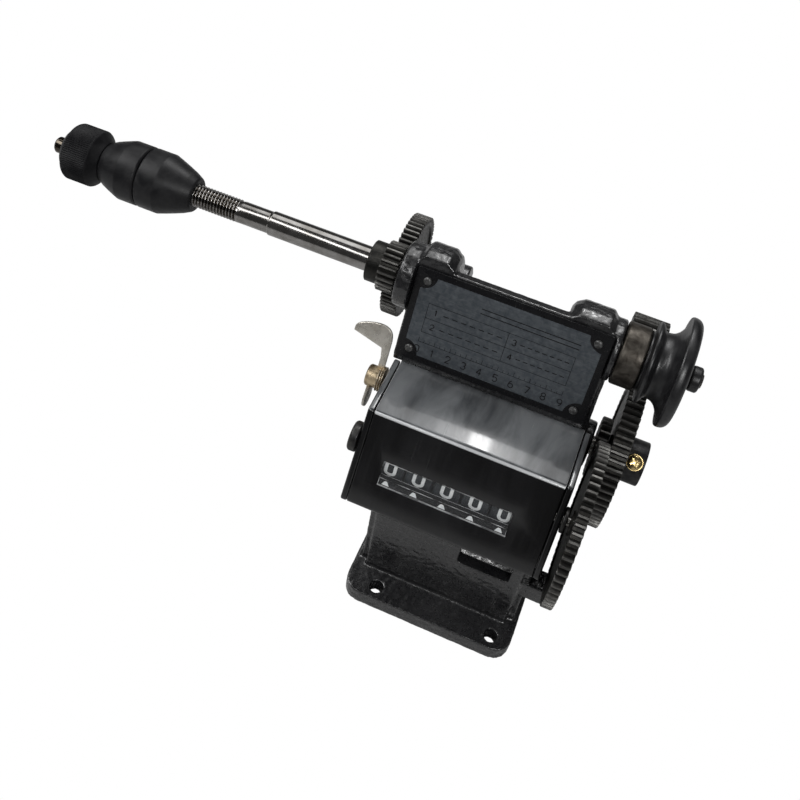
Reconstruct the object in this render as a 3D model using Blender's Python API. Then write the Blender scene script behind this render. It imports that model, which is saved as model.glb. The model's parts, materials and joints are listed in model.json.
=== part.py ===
"""A bench coil winder: a cast frame that carries a clamping spindle, a gear train and a turn counter.

Metres, Z up, X along the spindle towards the pulley, Y towards the back. The origin is the centre of
the foot's underside. Heights and depths are measured from the spindle's axis. A place that ends in OUT is
a distance from the right cheek's outer face on the right, and from the panel's left edge on the left.
"""

import math

import bmesh
import bpy
from mathutils.geometry import tessellate_polygon

MM = 0.001

# Heights and the foot
SPINDLE_HEIGHT = 150 * MM
FOOT_WIDTH = 92 * MM
FOOT_DEPTH = 125 * MM
FOOT_FRONT = 94 * MM
FOOT_THICKNESS = 10 * MM
FOOT_CORNER = 9 * MM
FOOT_HOLE = 7 * MM
FOOT_HOLE_SIDE_INSET = 14 * MM
FOOT_HOLE_SHIFT = 3 * MM
FOOT_HOLE_INSET = 7 * MM
FOOT_REAR_HOLE_INSET = 9 * MM

# The casting above the foot
CHEEK_THICKNESS = 7.5 * MM
CHEEK_HALF_SPAN = 43 * MM
CHEEK_NECK = 18 * MM
CHEEK_REAR_FOOT = 26 * MM
CHEEK_REAR_TOP = 35 * MM
WALL_FRONT = 77.3 * MM
WALL_THICKNESS = 7 * MM
SHELF_GAP = 0.6 * MM
NOTCH_WIDTH = 27 * MM
NOTCH_HEIGHT = 15.5 * MM
PANEL_THICKNESS = 6 * MM
PANEL_LEFT_OVERHANG = 1.35 * MM
PANEL_RIGHT_STEP = 5.25 * MM
PANEL_HEIGHT = 53 * MM
ARM_REACH = 10 * MM
ARM_DEPTH = 12 * MM
ARM_HEIGHT = 12 * MM
ARM_DROP = 100.5 * MM
ARM_SETBACK = 1.5 * MM
NOTCH_LIP = 2 * MM
SHELF_STEP = 0.5 * MM
LEFT_BOSS_START_OUT = 7.55 * MM
LEFT_BOSS_INSIDE = 3 * MM
LEFT_BOSS_RADIUS = 17 * MM
LEFT_LUG_RADIUS = 20 * MM
RIGHT_BOSS_START_OUT = -27 * MM
RIGHT_BOSS_END_OUT = 0.6 * MM
RIGHT_LUG_END_OUT = -4.5 * MM
RIGHT_LUG_RADIUS = 18.3 * MM
LUG_ROUND = 2.6 * MM
SIDE_BOSS_RADIUS = 11 * MM
SIDE_BOSS_LEFT_END_OUT = 3.55 * MM
SIDE_BOSS_RIGHT_END_OUT = 2.6 * MM
CRANK_BOSS_RADIUS = 12.5 * MM
CRANK_BOSS_START_OUT = -19 * MM
CRANK_BOSS_END_OUT = 5.6 * MM

# The nameplate
PLATE_SIDE_MARGIN = 1.15 * MM
PLATE_HEIGHT = 51 * MM
PLATE_THICKNESS = 1.2 * MM
PLATE_MIDDLE_Y = -15 * MM
PLATE_MIDDLE_DROP = 9.5 * MM
PLATE_LEAN = math.radians(17.6)
RIVET_DIAMETER = 4.2 * MM
RIVET_HEIGHT = 1.1 * MM
RIVET_INSET = 6.2 * MM

# The spindle, as places along X and diameters
THREAD_DIAMETER = 12 * MM
THREAD_PITCH = 1.75 * MM
THREAD_DEPTH = 1.0 * MM
STUB_DIAMETER = 8.8 * MM
STUB_END = -265 * MM
STUB_LENGTH = 13 * MM
THREAD_SHOWN_START = -181.5 * MM
THREAD_END = -157.5 * MM
STEP_AT = -140 * MM
NECK_DIAMETER = 11.6 * MM
SHAFT_DIAMETER = 12.8 * MM
SHAFT_END_OUT = 34.6 * MM
SPINDLE_TAIL_DIAMETER = 8 * MM
SPINDLE_TAIL_END_OUT = 41.6 * MM
EDGE_BREAK = 0.8 * MM

# The knurled nut and the two cones
NUT_START = -257.8 * MM
NUT_KNURL_START = -253.3 * MM
NUT_KNURL_END = -240.1 * MM
NUT_END = -235.2 * MM
NUT_DIAMETER = 30.6 * MM
NUT_FACE_DIAMETER = 21 * MM
NUT_KNURLS = 36
KNURL_DEPTH = 0.55 * MM
CONE_DIAMETER = 32.2 * MM
OUTER_CONE_START = -234.7 * MM
OUTER_CONE_FULL = -221.8 * MM
OUTER_CONE_END = -211.2 * MM
INNER_CONE_START = -210.7 * MM
INNER_CONE_FULL = -199.8 * MM
INNER_CONE_END = -182 * MM
CONE_NOSE_DIAMETER = 18.6 * MM
OUTER_NOSE_DIAMETER = 22 * MM
CONE_BULGE_SHARE = 0.14

# Fits
BORE_CLEARANCE = 0.15 * MM
SEAT_GAP = 0.3 * MM

# The gear train
FINE_MODULE = 1.0 * MM
COARSE_MODULE = 1.25 * MM
SPINDLE_TEETH = 24
WHEEL_TEETH = 54
PINION_TEETH = 27
CRANK_WHEEL_TEETH = 60
CRANK_PINION_TEETH = 24
COUNTER_TEETH = 64
COUNTER_AXIS_Y = -61 * MM
COUNTER_AXIS_DROP = 58 * MM
CRANK_AXIS_DISTANCE = 65 * MM
TIP_SHARE = 0.23
ROOT_SHARE = 0.62
ADDENDUM_SHARE = 1.0
DEDENDUM_SHARE = 1.25
HUB_START_OUT = 24.95 * MM
HUB_STEP = 0.15 * MM
SPINDLE_GEAR_START_OUT = 17.95 * MM
SPINDLE_GEAR_WIDTH = 9.2 * MM
WHEEL_START_OUT = 18.15 * MM
WHEEL_WIDTH = 8.8 * MM
PINION_START_OUT = 3.6 * MM
PINION_WIDTH = 18.4 * MM
CRANK_WHEEL_START_OUT = 13.6 * MM
CRANK_WHEEL_WIDTH = 9 * MM
CRANK_PINION_START_OUT = 7.2 * MM
CRANK_PINION_WIDTH = 5.4 * MM
SHAFT_RADIUS = 5 * MM
COUNTERSHAFT_OVERHANG = 2.5 * MM

# The collar, the pulley and the end nut
COLLAR_START_OUT = 1 * MM
COLLAR_END_OUT = 12.6 * MM
COLLAR_DIAMETER = 31.6 * MM
PULLEY_START_OUT = 14 * MM
PULLEY_FLANGE_END_OUT = 17 * MM
PULLEY_FLANGE_DIAMETER = 40.4 * MM
PULLEY_NECK_DIAMETER = 29 * MM
GROOVE_DIAMETER = 33 * MM
GROOVE_START_OUT = 18.4 * MM
GROOVE_END_OUT = 20.6 * MM
BELL_WIDEST_OUT = 27.4 * MM
BELL_END_OUT = 33.4 * MM
BELL_ROUND = 4 * MM
BELL_DIAMETER = 54.8 * MM
PULLEY_END_OUT = 34.4 * MM
PULLEY_HUB_DIAMETER = 17 * MM
END_NUT_DIAMETER = 12.6 * MM
END_NUT_LENGTH = 5.2 * MM

# The crank's hub and its clamping screw
CRANK_HUB_START_OUT = 23 * MM
CRANK_HUB_LENGTH = 11 * MM
CRANK_HUB_DIAMETER = 23.4 * MM
SCREW_HEAD_DIAMETER = 7.6 * MM
SCREW_HEAD_HEIGHT = 3 * MM
SCREW_SLOT = 1.3 * MM
SCREW_SLOT_SHARE = 0.7
SCREW_WASHER_DIAMETER = 8.8 * MM
SCREW_WASHER_THICKNESS = 1.1 * MM
SCREW_ANGLE = math.radians(132)
SCREW_FLAT_DEPTH = 1.0 * MM

# The turn counter
CASE_WIDTH = 97.4 * MM
CASE_HEIGHT = 47.9 * MM
CASE_LIP = 3.2 * MM
CASE_GEAR_GAP = 1.4 * MM
CASE_SIDE = 3.5 * MM
CASE_WALL = 2 * MM
CASE_TOP_FRONT_Y = -56.5 * MM
CASE_TOP_DROP = 39.5 * MM
CASE_NOSE_Y = -81 * MM
CASE_UNDER_Y = -78.1 * MM
CASE_BACK_Y = -20.5 * MM
WINDOW_WIDTH_SHARE = 0.69
WINDOW_SHIFT_SHARE = -0.034
WINDOW_HEIGHT = 13.5 * MM
WINDOW_SHIFT_DOWN = 4.15 * MM
WINDOW_GLASS = 1.2 * MM
DIGIT_RISE = 4.4 * MM
DIGIT_PITCH_SHARE = 0.2202
DIGIT_SPACING = 1.2 * MM
DIGIT_FLOOR_GAP = 0.45 * MM
DIGIT_COUNT = 5
DIGIT_AXLE_DIAMETER = 5 * MM
DIGIT_FACE_GAP = 1 * MM
COUNTER_SHAFT_DIAMETER = 5 * MM
COUNTER_SHAFT_INSIDE = 8 * MM
COUNTER_BOSS_DIAMETER = 13 * MM
COUNTER_BOSS_LENGTH = 2.2 * MM
COUNTER_END_DIAMETER = 15.5 * MM
COUNTER_END_LENGTH = 4.2 * MM

# The butterfly knob that clears the counter
KNOB_Y = -29 * MM
KNOB_DROP = 49 * MM
KNOB_STEM_DIAMETER = 5 * MM
KNOB_COLLAR_DIAMETER = 13.6 * MM
KNOB_COLLAR_LENGTH = 3.4 * MM
KNOB_HUB_DIAMETER = 9.5 * MM
KNOB_HUB_LENGTH = 6.4 * MM
KNOB_GAP = 1.2 * MM
WING_THICKNESS = 1.8 * MM
WING_ANGLE = math.radians(66)
WING_RIGHT_GAP = 1.8 * MM
WING_SPREAD = 20.6 * MM
WING_NECK_WIDTH = 3.6 * MM
WING_FLAT_RIGHT = 16.6 * MM
WING_FLAT_LEFT = 20.8 * MM
WING_BULGE = 8.6 * MM
LOWER_WING_REACH = 17.5 * MM
LOWER_WING_WIDTH = 12 * MM

# How finely round pieces are cut
FINE_SIDES = 32
ROUND_SIDES = 24
SMALL_SIDES = 16
THREAD_CUTS = 3

# What is on the right keeps its distance from the right cheek's outer face
right_boss_start = CHEEK_HALF_SPAN + RIGHT_BOSS_START_OUT
right_boss_end = CHEEK_HALF_SPAN + RIGHT_BOSS_END_OUT
right_lug_end = CHEEK_HALF_SPAN + RIGHT_LUG_END_OUT
side_boss_right_end = CHEEK_HALF_SPAN + SIDE_BOSS_RIGHT_END_OUT
crank_boss_start = CHEEK_HALF_SPAN + CRANK_BOSS_START_OUT
crank_boss_end = CHEEK_HALF_SPAN + CRANK_BOSS_END_OUT
shaft_end = CHEEK_HALF_SPAN + SHAFT_END_OUT
spindle_tail_end = CHEEK_HALF_SPAN + SPINDLE_TAIL_END_OUT
pinion_start = CHEEK_HALF_SPAN + PINION_START_OUT
crank_wheel_start = CHEEK_HALF_SPAN + CRANK_WHEEL_START_OUT
crank_pinion_start = CHEEK_HALF_SPAN + CRANK_PINION_START_OUT
collar_start = CHEEK_HALF_SPAN + COLLAR_START_OUT
collar_end = CHEEK_HALF_SPAN + COLLAR_END_OUT
pulley_start = CHEEK_HALF_SPAN + PULLEY_START_OUT
pulley_flange_end = CHEEK_HALF_SPAN + PULLEY_FLANGE_END_OUT
groove_start = CHEEK_HALF_SPAN + GROOVE_START_OUT
groove_end = CHEEK_HALF_SPAN + GROOVE_END_OUT
bell_widest = CHEEK_HALF_SPAN + BELL_WIDEST_OUT
bell_end = CHEEK_HALF_SPAN + BELL_END_OUT
pulley_end = CHEEK_HALF_SPAN + PULLEY_END_OUT
crank_hub_start = CHEEK_HALF_SPAN + CRANK_HUB_START_OUT

# The counter's case reaches to the left from its gear, and the panel above it is about as wide
right_outer = crank_pinion_start - CASE_GEAR_GAP - COUNTER_BOSS_LENGTH - SEAT_GAP
case_end = right_outer - CASE_SIDE
case_start = case_end - CASE_WIDTH
left_outer = case_start - CASE_SIDE
case_middle = (case_start + case_end) / 2
panel_left = left_outer - PANEL_LEFT_OVERHANG
panel_right = right_outer - PANEL_RIGHT_STEP
panel_width = panel_right - panel_left
plate_middle_x = (panel_left + panel_right) / 2
plate_width = panel_width - 2 * PLATE_SIDE_MARGIN

# What is on the left keeps its distance from the panel's left edge
left_boss_end = LEFT_BOSS_INSIDE - CHEEK_HALF_SPAN
left_boss_start = panel_left - LEFT_BOSS_START_OUT
side_boss_left_end = panel_left - SIDE_BOSS_LEFT_END_OUT
hub_start = panel_left - HUB_START_OUT
spindle_gear_start = panel_left - SPINDLE_GEAR_START_OUT
wheel_start = panel_left - WHEEL_START_OUT


def material(name, colour, roughness, metallic):
    made = bpy.data.materials.new(name)
    made.use_nodes = True
    shader = made.node_tree.nodes["Principled BSDF"]
    shader.inputs["Base Color"].default_value = (*colour, 1)
    shader.inputs["Roughness"].default_value = roughness
    shader.inputs["Metallic"].default_value = metallic
    made.diffuse_color = (*colour, 1)
    return made


def add_object(name, points, faces, place, finish=None, parent=None):
    """An object whose points are given round its own origin, which lies at place in the world."""
    mesh = bpy.data.meshes.new(name)
    mesh.from_pydata(points, [], faces)
    work = bmesh.new()
    work.from_mesh(mesh)
    bmesh.ops.recalc_face_normals(work, faces=work.faces)
    if work.calc_volume(signed=True) < 0:
        bmesh.ops.reverse_faces(work, faces=work.faces)
    work.to_mesh(mesh)
    work.free()
    mesh.shade_smooth()
    mesh.set_sharp_from_angle(angle=math.radians(32))
    made = bpy.data.objects.new(name, mesh)
    made.location = place
    bpy.context.scene.collection.objects.link(made)
    if parent is not None:
        made.parent = parent
        made.location = [a - b for a, b in zip(place, parent.location)]
    if finish is None:
        made.hide_render = True
        made.display_type = "WIRE"
    else:
        mesh.materials.append(finish)
    return made


def axis_empty(name, place):
    made = bpy.data.objects.new(name, None)
    made.location = place
    bpy.context.scene.collection.objects.link(made)
    return made


def circle(radius, sides, turn=0):
    """Points (y, z) of a regular polygon about the origin."""
    angles = [turn + 2 * math.pi * k / sides for k in range(sides)]
    return [(radius * math.cos(a), radius * math.sin(a)) for a in angles]


def radius_at(radius, angle):
    return radius(angle) if callable(radius) else radius


def turned(rows, sides, bore=0):
    """A body turned about X. Rows are (x, radius) from the left, and a radius may be a function."""
    points, faces = [], []
    if bore:
        rows = [*rows, (rows[-1][0], bore), (rows[0][0], bore)]
    for x, radius in rows:
        for k in range(sides):
            angle = 2 * math.pi * k / sides
            r = radius_at(radius, angle)
            points.append((x, r * math.cos(angle), r * math.sin(angle)))
    for i in range(len(rows) if bore else len(rows) - 1):
        for k in range(sides):
            a, b = i * sides, ((i + 1) % len(rows)) * sides
            n = (k + 1) % sides
            faces.append((a + k, a + n, b + n, b + k))
    if not bore:
        faces.append(tuple(range(sides)))
        faces.append(tuple(range(len(points) - sides, len(points))))
    return points, faces


def stack(layers, bore):
    """Plates along X, each (start, end, outline), that share one bore and fit inside each other."""
    points, faces = [], []

    def ring(x, outline):
        first = len(points)
        points.extend((x, y, z) for y, z in outline)
        return list(range(first, len(points)))

    def band(a, b):
        for k in range(len(a)):
            n = (k + 1) % len(a)
            faces.append((a[k], a[n], b[n], b[k]))

    def cap(outer, inner):
        both = outer + inner
        loops = [[(points[i][1], points[i][2], 0) for i in loop] for loop in (outer, inner)]
        for triangle in tessellate_polygon(loops):
            faces.append(tuple(both[i] for i in triangle))

    starts = [ring(start, outline) for start, end, outline in layers]
    ends = [ring(end, outline) for start, end, outline in layers]
    for start, end in zip(starts, ends):
        band(start, end)
    bore_start = ring(layers[0][0], bore)
    bore_end = ring(layers[-1][1], bore)
    band(bore_start, bore_end)
    cap(starts[0], bore_start)
    cap(ends[-1], bore_end)
    for i in range(len(layers) - 1):
        outlines = [ends[i], starts[i + 1]]
        reach = [max(abs(points[k][1]) for k in loop) for loop in outlines]
        if reach[0] < reach[1]:
            outlines.reverse()
        cap(*outlines)
    return points, faces


def prism(outline, start, end, along="x"):
    """A straight bar: an outline (y, z) drawn along X, or an outline (x, y) drawn along Z."""
    points = []
    for place in (start, end):
        for a, b in outline:
            points.append((place, a, b) if along == "x" else (a, b, place))
    count = len(outline)
    faces = [tuple(range(count)), tuple(range(count, 2 * count))]
    for k in range(count):
        n = (k + 1) % count
        faces.append((k, n, count + n, count + k))
    return points, faces


def rounded_rectangle(x_start, x_end, y_start, y_end, radius, steps=5):
    corners = (
        (x_end - radius, y_end - radius, 0),
        (x_start + radius, y_end - radius, 1),
        (x_start + radius, y_start + radius, 2),
        (x_end - radius, y_start + radius, 3),
    )
    points = []
    for x, y, quarter in corners:
        for k in range(steps + 1):
            angle = math.pi / 2 * (quarter + k / steps)
            points.append((x + radius * math.cos(angle), y + radius * math.sin(angle)))
    return points


def boolean(target, tool, operation):
    change = target.modifiers.new(tool.name, "BOOLEAN")
    change.operation = operation
    change.solver = "EXACT"
    change.object = tool


def gear_outline(teeth, module, first_tooth):
    """Points (y, z) of a spur gear with a tooth's middle at the angle first_tooth."""
    root = module * (teeth / 2 - DEDENDUM_SHARE)
    tip = module * (teeth / 2 + ADDENDUM_SHARE)
    pitch_angle = 2 * math.pi / teeth
    tip_half = pitch_angle * TIP_SHARE / 2
    root_half = pitch_angle * ROOT_SHARE / 2
    points = []
    for k in range(teeth):
        at = first_tooth + k * pitch_angle
        for radius, offset in (
            (root, -root_half),
            (tip, -tip_half),
            (tip, tip_half),
            (root, root_half),
        ):
            points.append((radius * math.cos(at + offset), radius * math.sin(at + offset)))
    return points


def gap_first(teeth, facing):
    """The angle of a gear's first tooth that leaves a gap in the direction facing."""
    return facing + math.pi / teeth


def mesh_distance(teeth, other_teeth, module):
    return module * (teeth + other_teeth) / 2


def third_corner(p, q, from_p, from_q, side):
    """The point at given distances from p and q, to the left of the way from p to q for side 1."""
    dy, dz = q[0] - p[0], q[1] - p[1]
    span = math.hypot(dy, dz)
    along = (from_p**2 - from_q**2 + span**2) / (2 * span)
    across = side * math.sqrt(from_p**2 - along**2)
    return (
        p[0] + (along * dy - across * dz) / span,
        p[1] + (along * dz + across * dy) / span,
    )


def direction(p, q):
    return math.atan2(q[1] - p[1], q[0] - p[0])


def clear_scene():
    for old in list(bpy.data.objects):
        bpy.data.objects.remove(old, do_unlink=True)


clear_scene()

CAST_IRON = material("cast_iron_paint", (0.018, 0.018, 0.020), 0.32, 0.2)
BRIGHT_STEEL = material("bright_steel", (0.42, 0.41, 0.40), 0.24, 1.0)
BLACK_STEEL = material("black_steel", (0.035, 0.035, 0.037), 0.42, 0.7)
SATIN_BLACK = material("satin_black", (0.022, 0.022, 0.024), 0.38, 0.1)
GEAR_STEEL = material("gear_steel", (0.11, 0.11, 0.11), 0.4, 0.9)
WORN_STEEL = material("worn_steel", (0.20, 0.17, 0.14), 0.4, 0.95)
CASE_BLACK = material("case_black", (0.02, 0.02, 0.022), 0.22, 0.1)
GLASS = material("clear_cover", (0.75, 0.77, 0.78), 0.08, 0.0)
DIGIT_BLACK = material("digit_black", (0.012, 0.012, 0.012), 0.5, 0.0)
NICKEL = material("nickel", (0.72, 0.68, 0.60), 0.28, 0.9)
BRASS = material("brass", (0.62, 0.47, 0.20), 0.26, 1.0)
PLATE_METAL = material("plate_metal", (0.16, 0.19, 0.23), 0.42, 0.6)

# Where the axes are, as (y, z) from the spindle's axis
foot_middle_y = FOOT_DEPTH / 2 - FOOT_FRONT
SPINDLE_AXIS = (0, 0)
COUNTER_AXIS = (COUNTER_AXIS_Y, -COUNTER_AXIS_DROP)
CRANK_AXIS = third_corner(
    SPINDLE_AXIS,
    COUNTER_AXIS,
    CRANK_AXIS_DISTANCE,
    mesh_distance(CRANK_PINION_TEETH, COUNTER_TEETH, COARSE_MODULE),
    1,
)
COUNTERSHAFT_AXIS = third_corner(
    SPINDLE_AXIS,
    CRANK_AXIS,
    mesh_distance(SPINDLE_TEETH, WHEEL_TEETH, FINE_MODULE),
    mesh_distance(PINION_TEETH, CRANK_WHEEL_TEETH, COARSE_MODULE),
    1,
)


def world(x, axis=SPINDLE_AXIS):
    """A place on an axis in the world, where the origin is the middle of the foot's underside."""
    return (x, axis[0] - foot_middle_y, axis[1] + SPINDLE_HEIGHT)


def add_turned(name, axis, rows, finish, sides=ROUND_SIDES, bore=0, parent=None):
    points, faces = turned(rows, sides, bore)
    return add_object(name, points, faces, world(0, axis), finish, parent)


def add_bar(name, axis, outline, start, end, finish=None, parent=None):
    points, faces = prism(outline, start, end)
    return add_object(name, points, faces, world(0, axis), finish, parent)


def chamfered(start, end, radius, edge=EDGE_BREAK):
    return [(start, radius - edge), (start + edge, radius), (end - edge, radius), (end, radius - edge)]


# Axis empties, which the moving pieces hang from
spindle_axis = axis_empty("spindle_axis", world(0))
countershaft_axis = axis_empty("countershaft_axis", world(0, COUNTERSHAFT_AXIS))
crank_axis = axis_empty("crank_axis", world(0, CRANK_AXIS))
counter_axis = axis_empty("counter_axis", world(0, COUNTER_AXIS))

# The frame, one casting: the foot, the front wall, two cheeks, the sloping panel and the bearing bosses
foot_points, foot_faces = prism(
    rounded_rectangle(
        -FOOT_WIDTH / 2,
        FOOT_WIDTH / 2,
        -FOOT_DEPTH / 2,
        FOOT_DEPTH / 2,
        FOOT_CORNER,
    ),
    0,
    FOOT_THICKNESS,
    "z",
)
frame = add_object("frame_casting", foot_points, foot_faces, (0, 0, 0), CAST_IRON)

foot_top = FOOT_THICKNESS - SPINDLE_HEIGHT
wall_root = foot_top - FOOT_THICKNESS / 2
case_bottom_drop = CASE_TOP_DROP + CASE_HEIGHT
shelf_drop = case_bottom_drop + SHELF_GAP
wall_outline = [
    (-WALL_FRONT, wall_root),
    (-WALL_FRONT + WALL_THICKNESS, wall_root),
    (-WALL_FRONT + WALL_THICKNESS, -shelf_drop - SHELF_STEP),
    (-WALL_FRONT, -shelf_drop - SHELF_STEP),
]
front_wall = add_bar(
    "front_wall",
    SPINDLE_AXIS,
    wall_outline,
    CHEEK_THICKNESS / 2 - CHEEK_HALF_SPAN,
    CHEEK_HALF_SPAN - CHEEK_THICKNESS / 2,
)
boolean(frame, front_wall, "UNION")

# The sloping panel, drawn along its own lean: u runs up the plate and v runs out of its face
lean_up = (math.sin(PLATE_LEAN), math.cos(PLATE_LEAN))
lean_out = (-math.cos(PLATE_LEAN), math.sin(PLATE_LEAN))


def on_panel(up, out):
    """A point (y, z) that lies up the nameplate's middle line and out from its front face."""
    return (
        PLATE_MIDDLE_Y + up * lean_up[0] + out * lean_out[0],
        -PLATE_MIDDLE_DROP + up * lean_up[1] + out * lean_out[1],
    )


panel_face = -PLATE_THICKNESS - SEAT_GAP
panel_lip = SEAT_GAP - CASE_TOP_DROP
panel_front = on_panel(-PANEL_HEIGHT / 2, panel_face)
panel_back = on_panel(-PANEL_HEIGHT / 2, panel_face - PANEL_THICKNESS)
panel_outline = [
    (panel_front[0], panel_lip),
    panel_front,
    on_panel(PANEL_HEIGHT / 2, panel_face),
    on_panel(PANEL_HEIGHT / 2, panel_face - PANEL_THICKNESS),
    panel_back,
    (panel_back[0], panel_lip),
]
panel = add_bar(
    "panel",
    SPINDLE_AXIS,
    panel_outline,
    plate_middle_x - panel_width / 2,
    plate_middle_x + panel_width / 2,
)

shaft_y, shaft_z = COUNTERSHAFT_AXIS
cheek_root = foot_top - FOOT_THICKNESS / 3
cheek_outline = [
    (-WALL_FRONT + WALL_THICKNESS / 2, cheek_root),
    (-WALL_FRONT + WALL_THICKNESS / 2, -shelf_drop),
    (-CHEEK_NECK, -shelf_drop),
    on_panel((PANEL_THICKNESS - PANEL_HEIGHT) / 2, panel_face - PANEL_THICKNESS / 2),
    (0, 0),
    (shaft_y, shaft_z + SIDE_BOSS_RADIUS / 2),
    (CHEEK_REAR_TOP, shaft_z),
    (CHEEK_REAR_FOOT, cheek_root),
]
for side, label in ((-1, "left"), (1, "right")):
    inner = side * (CHEEK_HALF_SPAN - CHEEK_THICKNESS)
    outer = side * CHEEK_HALF_SPAN
    cheek = add_bar(f"{label}_cheek", SPINDLE_AXIS, cheek_outline, inner, outer)
    boolean(frame, cheek, "UNION")
boolean(frame, panel, "UNION")

left_boss_rows = [
    (left_boss_start, LEFT_BOSS_RADIUS - EDGE_BREAK),
    (left_boss_start + EDGE_BREAK, LEFT_BOSS_RADIUS),
    (left_boss_start + 3 * LUG_ROUND, LEFT_BOSS_RADIUS),
    (left_boss_start + 4 * LUG_ROUND, LEFT_LUG_RADIUS),
    (left_boss_end - 2 * LUG_ROUND, LEFT_LUG_RADIUS),
    (left_boss_end - LUG_ROUND / 2, LEFT_LUG_RADIUS - LUG_ROUND),
    (left_boss_end, LEFT_LUG_RADIUS - 2 * LUG_ROUND),
]
right_boss_rows = [
    (right_boss_start, RIGHT_LUG_RADIUS - 2 * LUG_ROUND),
    (right_boss_start + LUG_ROUND / 2, RIGHT_LUG_RADIUS - LUG_ROUND),
    (right_boss_start + 2 * LUG_ROUND, RIGHT_LUG_RADIUS),
    (right_lug_end - LUG_ROUND, RIGHT_LUG_RADIUS),
    (right_lug_end, RIGHT_LUG_RADIUS - LUG_ROUND),
    (right_boss_end - EDGE_BREAK, RIGHT_LUG_RADIUS - LUG_ROUND),
    (right_boss_end, RIGHT_LUG_RADIUS - LUG_ROUND - EDGE_BREAK),
]
bosses = (
    ("left_spindle_boss", SPINDLE_AXIS, left_boss_rows),
    ("right_spindle_boss", SPINDLE_AXIS, right_boss_rows),
    (
        "left_side_boss",
        COUNTERSHAFT_AXIS,
        chamfered(side_boss_left_end, CHEEK_THICKNESS / 2 - CHEEK_HALF_SPAN, SIDE_BOSS_RADIUS),
    ),
    (
        "right_side_boss",
        COUNTERSHAFT_AXIS,
        chamfered(CHEEK_HALF_SPAN - CHEEK_THICKNESS / 2, side_boss_right_end, SIDE_BOSS_RADIUS),
    ),
    (
        "crank_boss",
        CRANK_AXIS,
        chamfered(crank_boss_start, crank_boss_end, CRANK_BOSS_RADIUS),
    ),
)
for label, axis, rows in bosses:
    boss = add_turned(label, axis, rows, None)
    boolean(frame, boss, "UNION")

# The bosses are cut flush with the panel's face, so that the nameplate lies flat
seat_outline = [
    on_panel(-PANEL_HEIGHT, panel_face),
    on_panel(-PANEL_HEIGHT, LEFT_LUG_RADIUS),
    on_panel(PANEL_HEIGHT, LEFT_LUG_RADIUS),
    on_panel(PANEL_HEIGHT, panel_face),
]
seat_half = panel_width / 2 - SEAT_GAP
plate_seat = add_bar(
    "plate_seat",
    SPINDLE_AXIS,
    seat_outline,
    plate_middle_x - seat_half,
    plate_middle_x + seat_half,
)
boolean(frame, plate_seat, "DIFFERENCE")

arm_front = ARM_SETBACK - WALL_FRONT
arm_outline = [
    (arm_front, -ARM_DROP - ARM_HEIGHT),
    (arm_front + ARM_DEPTH, -ARM_DROP - ARM_HEIGHT),
    (arm_front + ARM_DEPTH, -ARM_DROP),
    (arm_front, -ARM_DROP),
]
arm = add_bar(
    "arm",
    SPINDLE_AXIS,
    arm_outline,
    CHEEK_HALF_SPAN - CHEEK_THICKNESS / 2,
    CHEEK_HALF_SPAN + ARM_REACH,
)
boolean(frame, arm, "UNION")

notch_outline = [
    (-WALL_FRONT - WALL_THICKNESS, -shelf_drop - NOTCH_HEIGHT),
    (2 * WALL_THICKNESS - WALL_FRONT, -shelf_drop - NOTCH_HEIGHT),
    (2 * WALL_THICKNESS - WALL_FRONT, NOTCH_HEIGHT - shelf_drop),
    (-WALL_FRONT - WALL_THICKNESS, NOTCH_HEIGHT - shelf_drop),
]
notch_end = CHEEK_HALF_SPAN - CHEEK_THICKNESS - NOTCH_LIP
notch = add_bar("notch", SPINDLE_AXIS, notch_outline, notch_end - NOTCH_WIDTH, notch_end)
boolean(frame, notch, "DIFFERENCE")

# Bores for the three shafts, then the four holes of the foot
bore_cuts = (
    ("spindle_bore", SPINDLE_AXIS, SHAFT_DIAMETER / 2, left_boss_start, right_boss_end),
    (
        "countershaft_bore",
        COUNTERSHAFT_AXIS,
        SHAFT_RADIUS,
        side_boss_left_end,
        side_boss_right_end,
    ),
    ("crank_bore", CRANK_AXIS, SHAFT_RADIUS, crank_boss_start, crank_boss_end),
)
for label, axis, radius, start, end in bore_cuts:
    cut_rows = [
        (start - EDGE_BREAK, radius + BORE_CLEARANCE),
        (end + EDGE_BREAK, radius + BORE_CLEARANCE),
    ]
    cutter = add_turned(label, axis, cut_rows, None)
    boolean(frame, cutter, "DIFFERENCE")

front_row = FOOT_HOLE_INSET - FOOT_DEPTH / 2
rear_row = FOOT_DEPTH / 2 - FOOT_REAR_HOLE_INSET
for row, row_y in enumerate((front_row, rear_row)):
    for side in (-1, 1):
        hole_x = FOOT_HOLE_SHIFT + side * (FOOT_WIDTH / 2 - FOOT_HOLE_SIDE_INSET)
        hole_points, hole_faces = prism(
            circle(FOOT_HOLE / 2, SMALL_SIDES), -FOOT_THICKNESS, 2 * FOOT_THICKNESS, "z"
        )
        label = f"foot_hole_{row}_{(side + 1) // 2}"
        hole = add_object(label, hole_points, hole_faces, (hole_x, row_y, 0))
        boolean(frame, hole, "DIFFERENCE")

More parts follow.
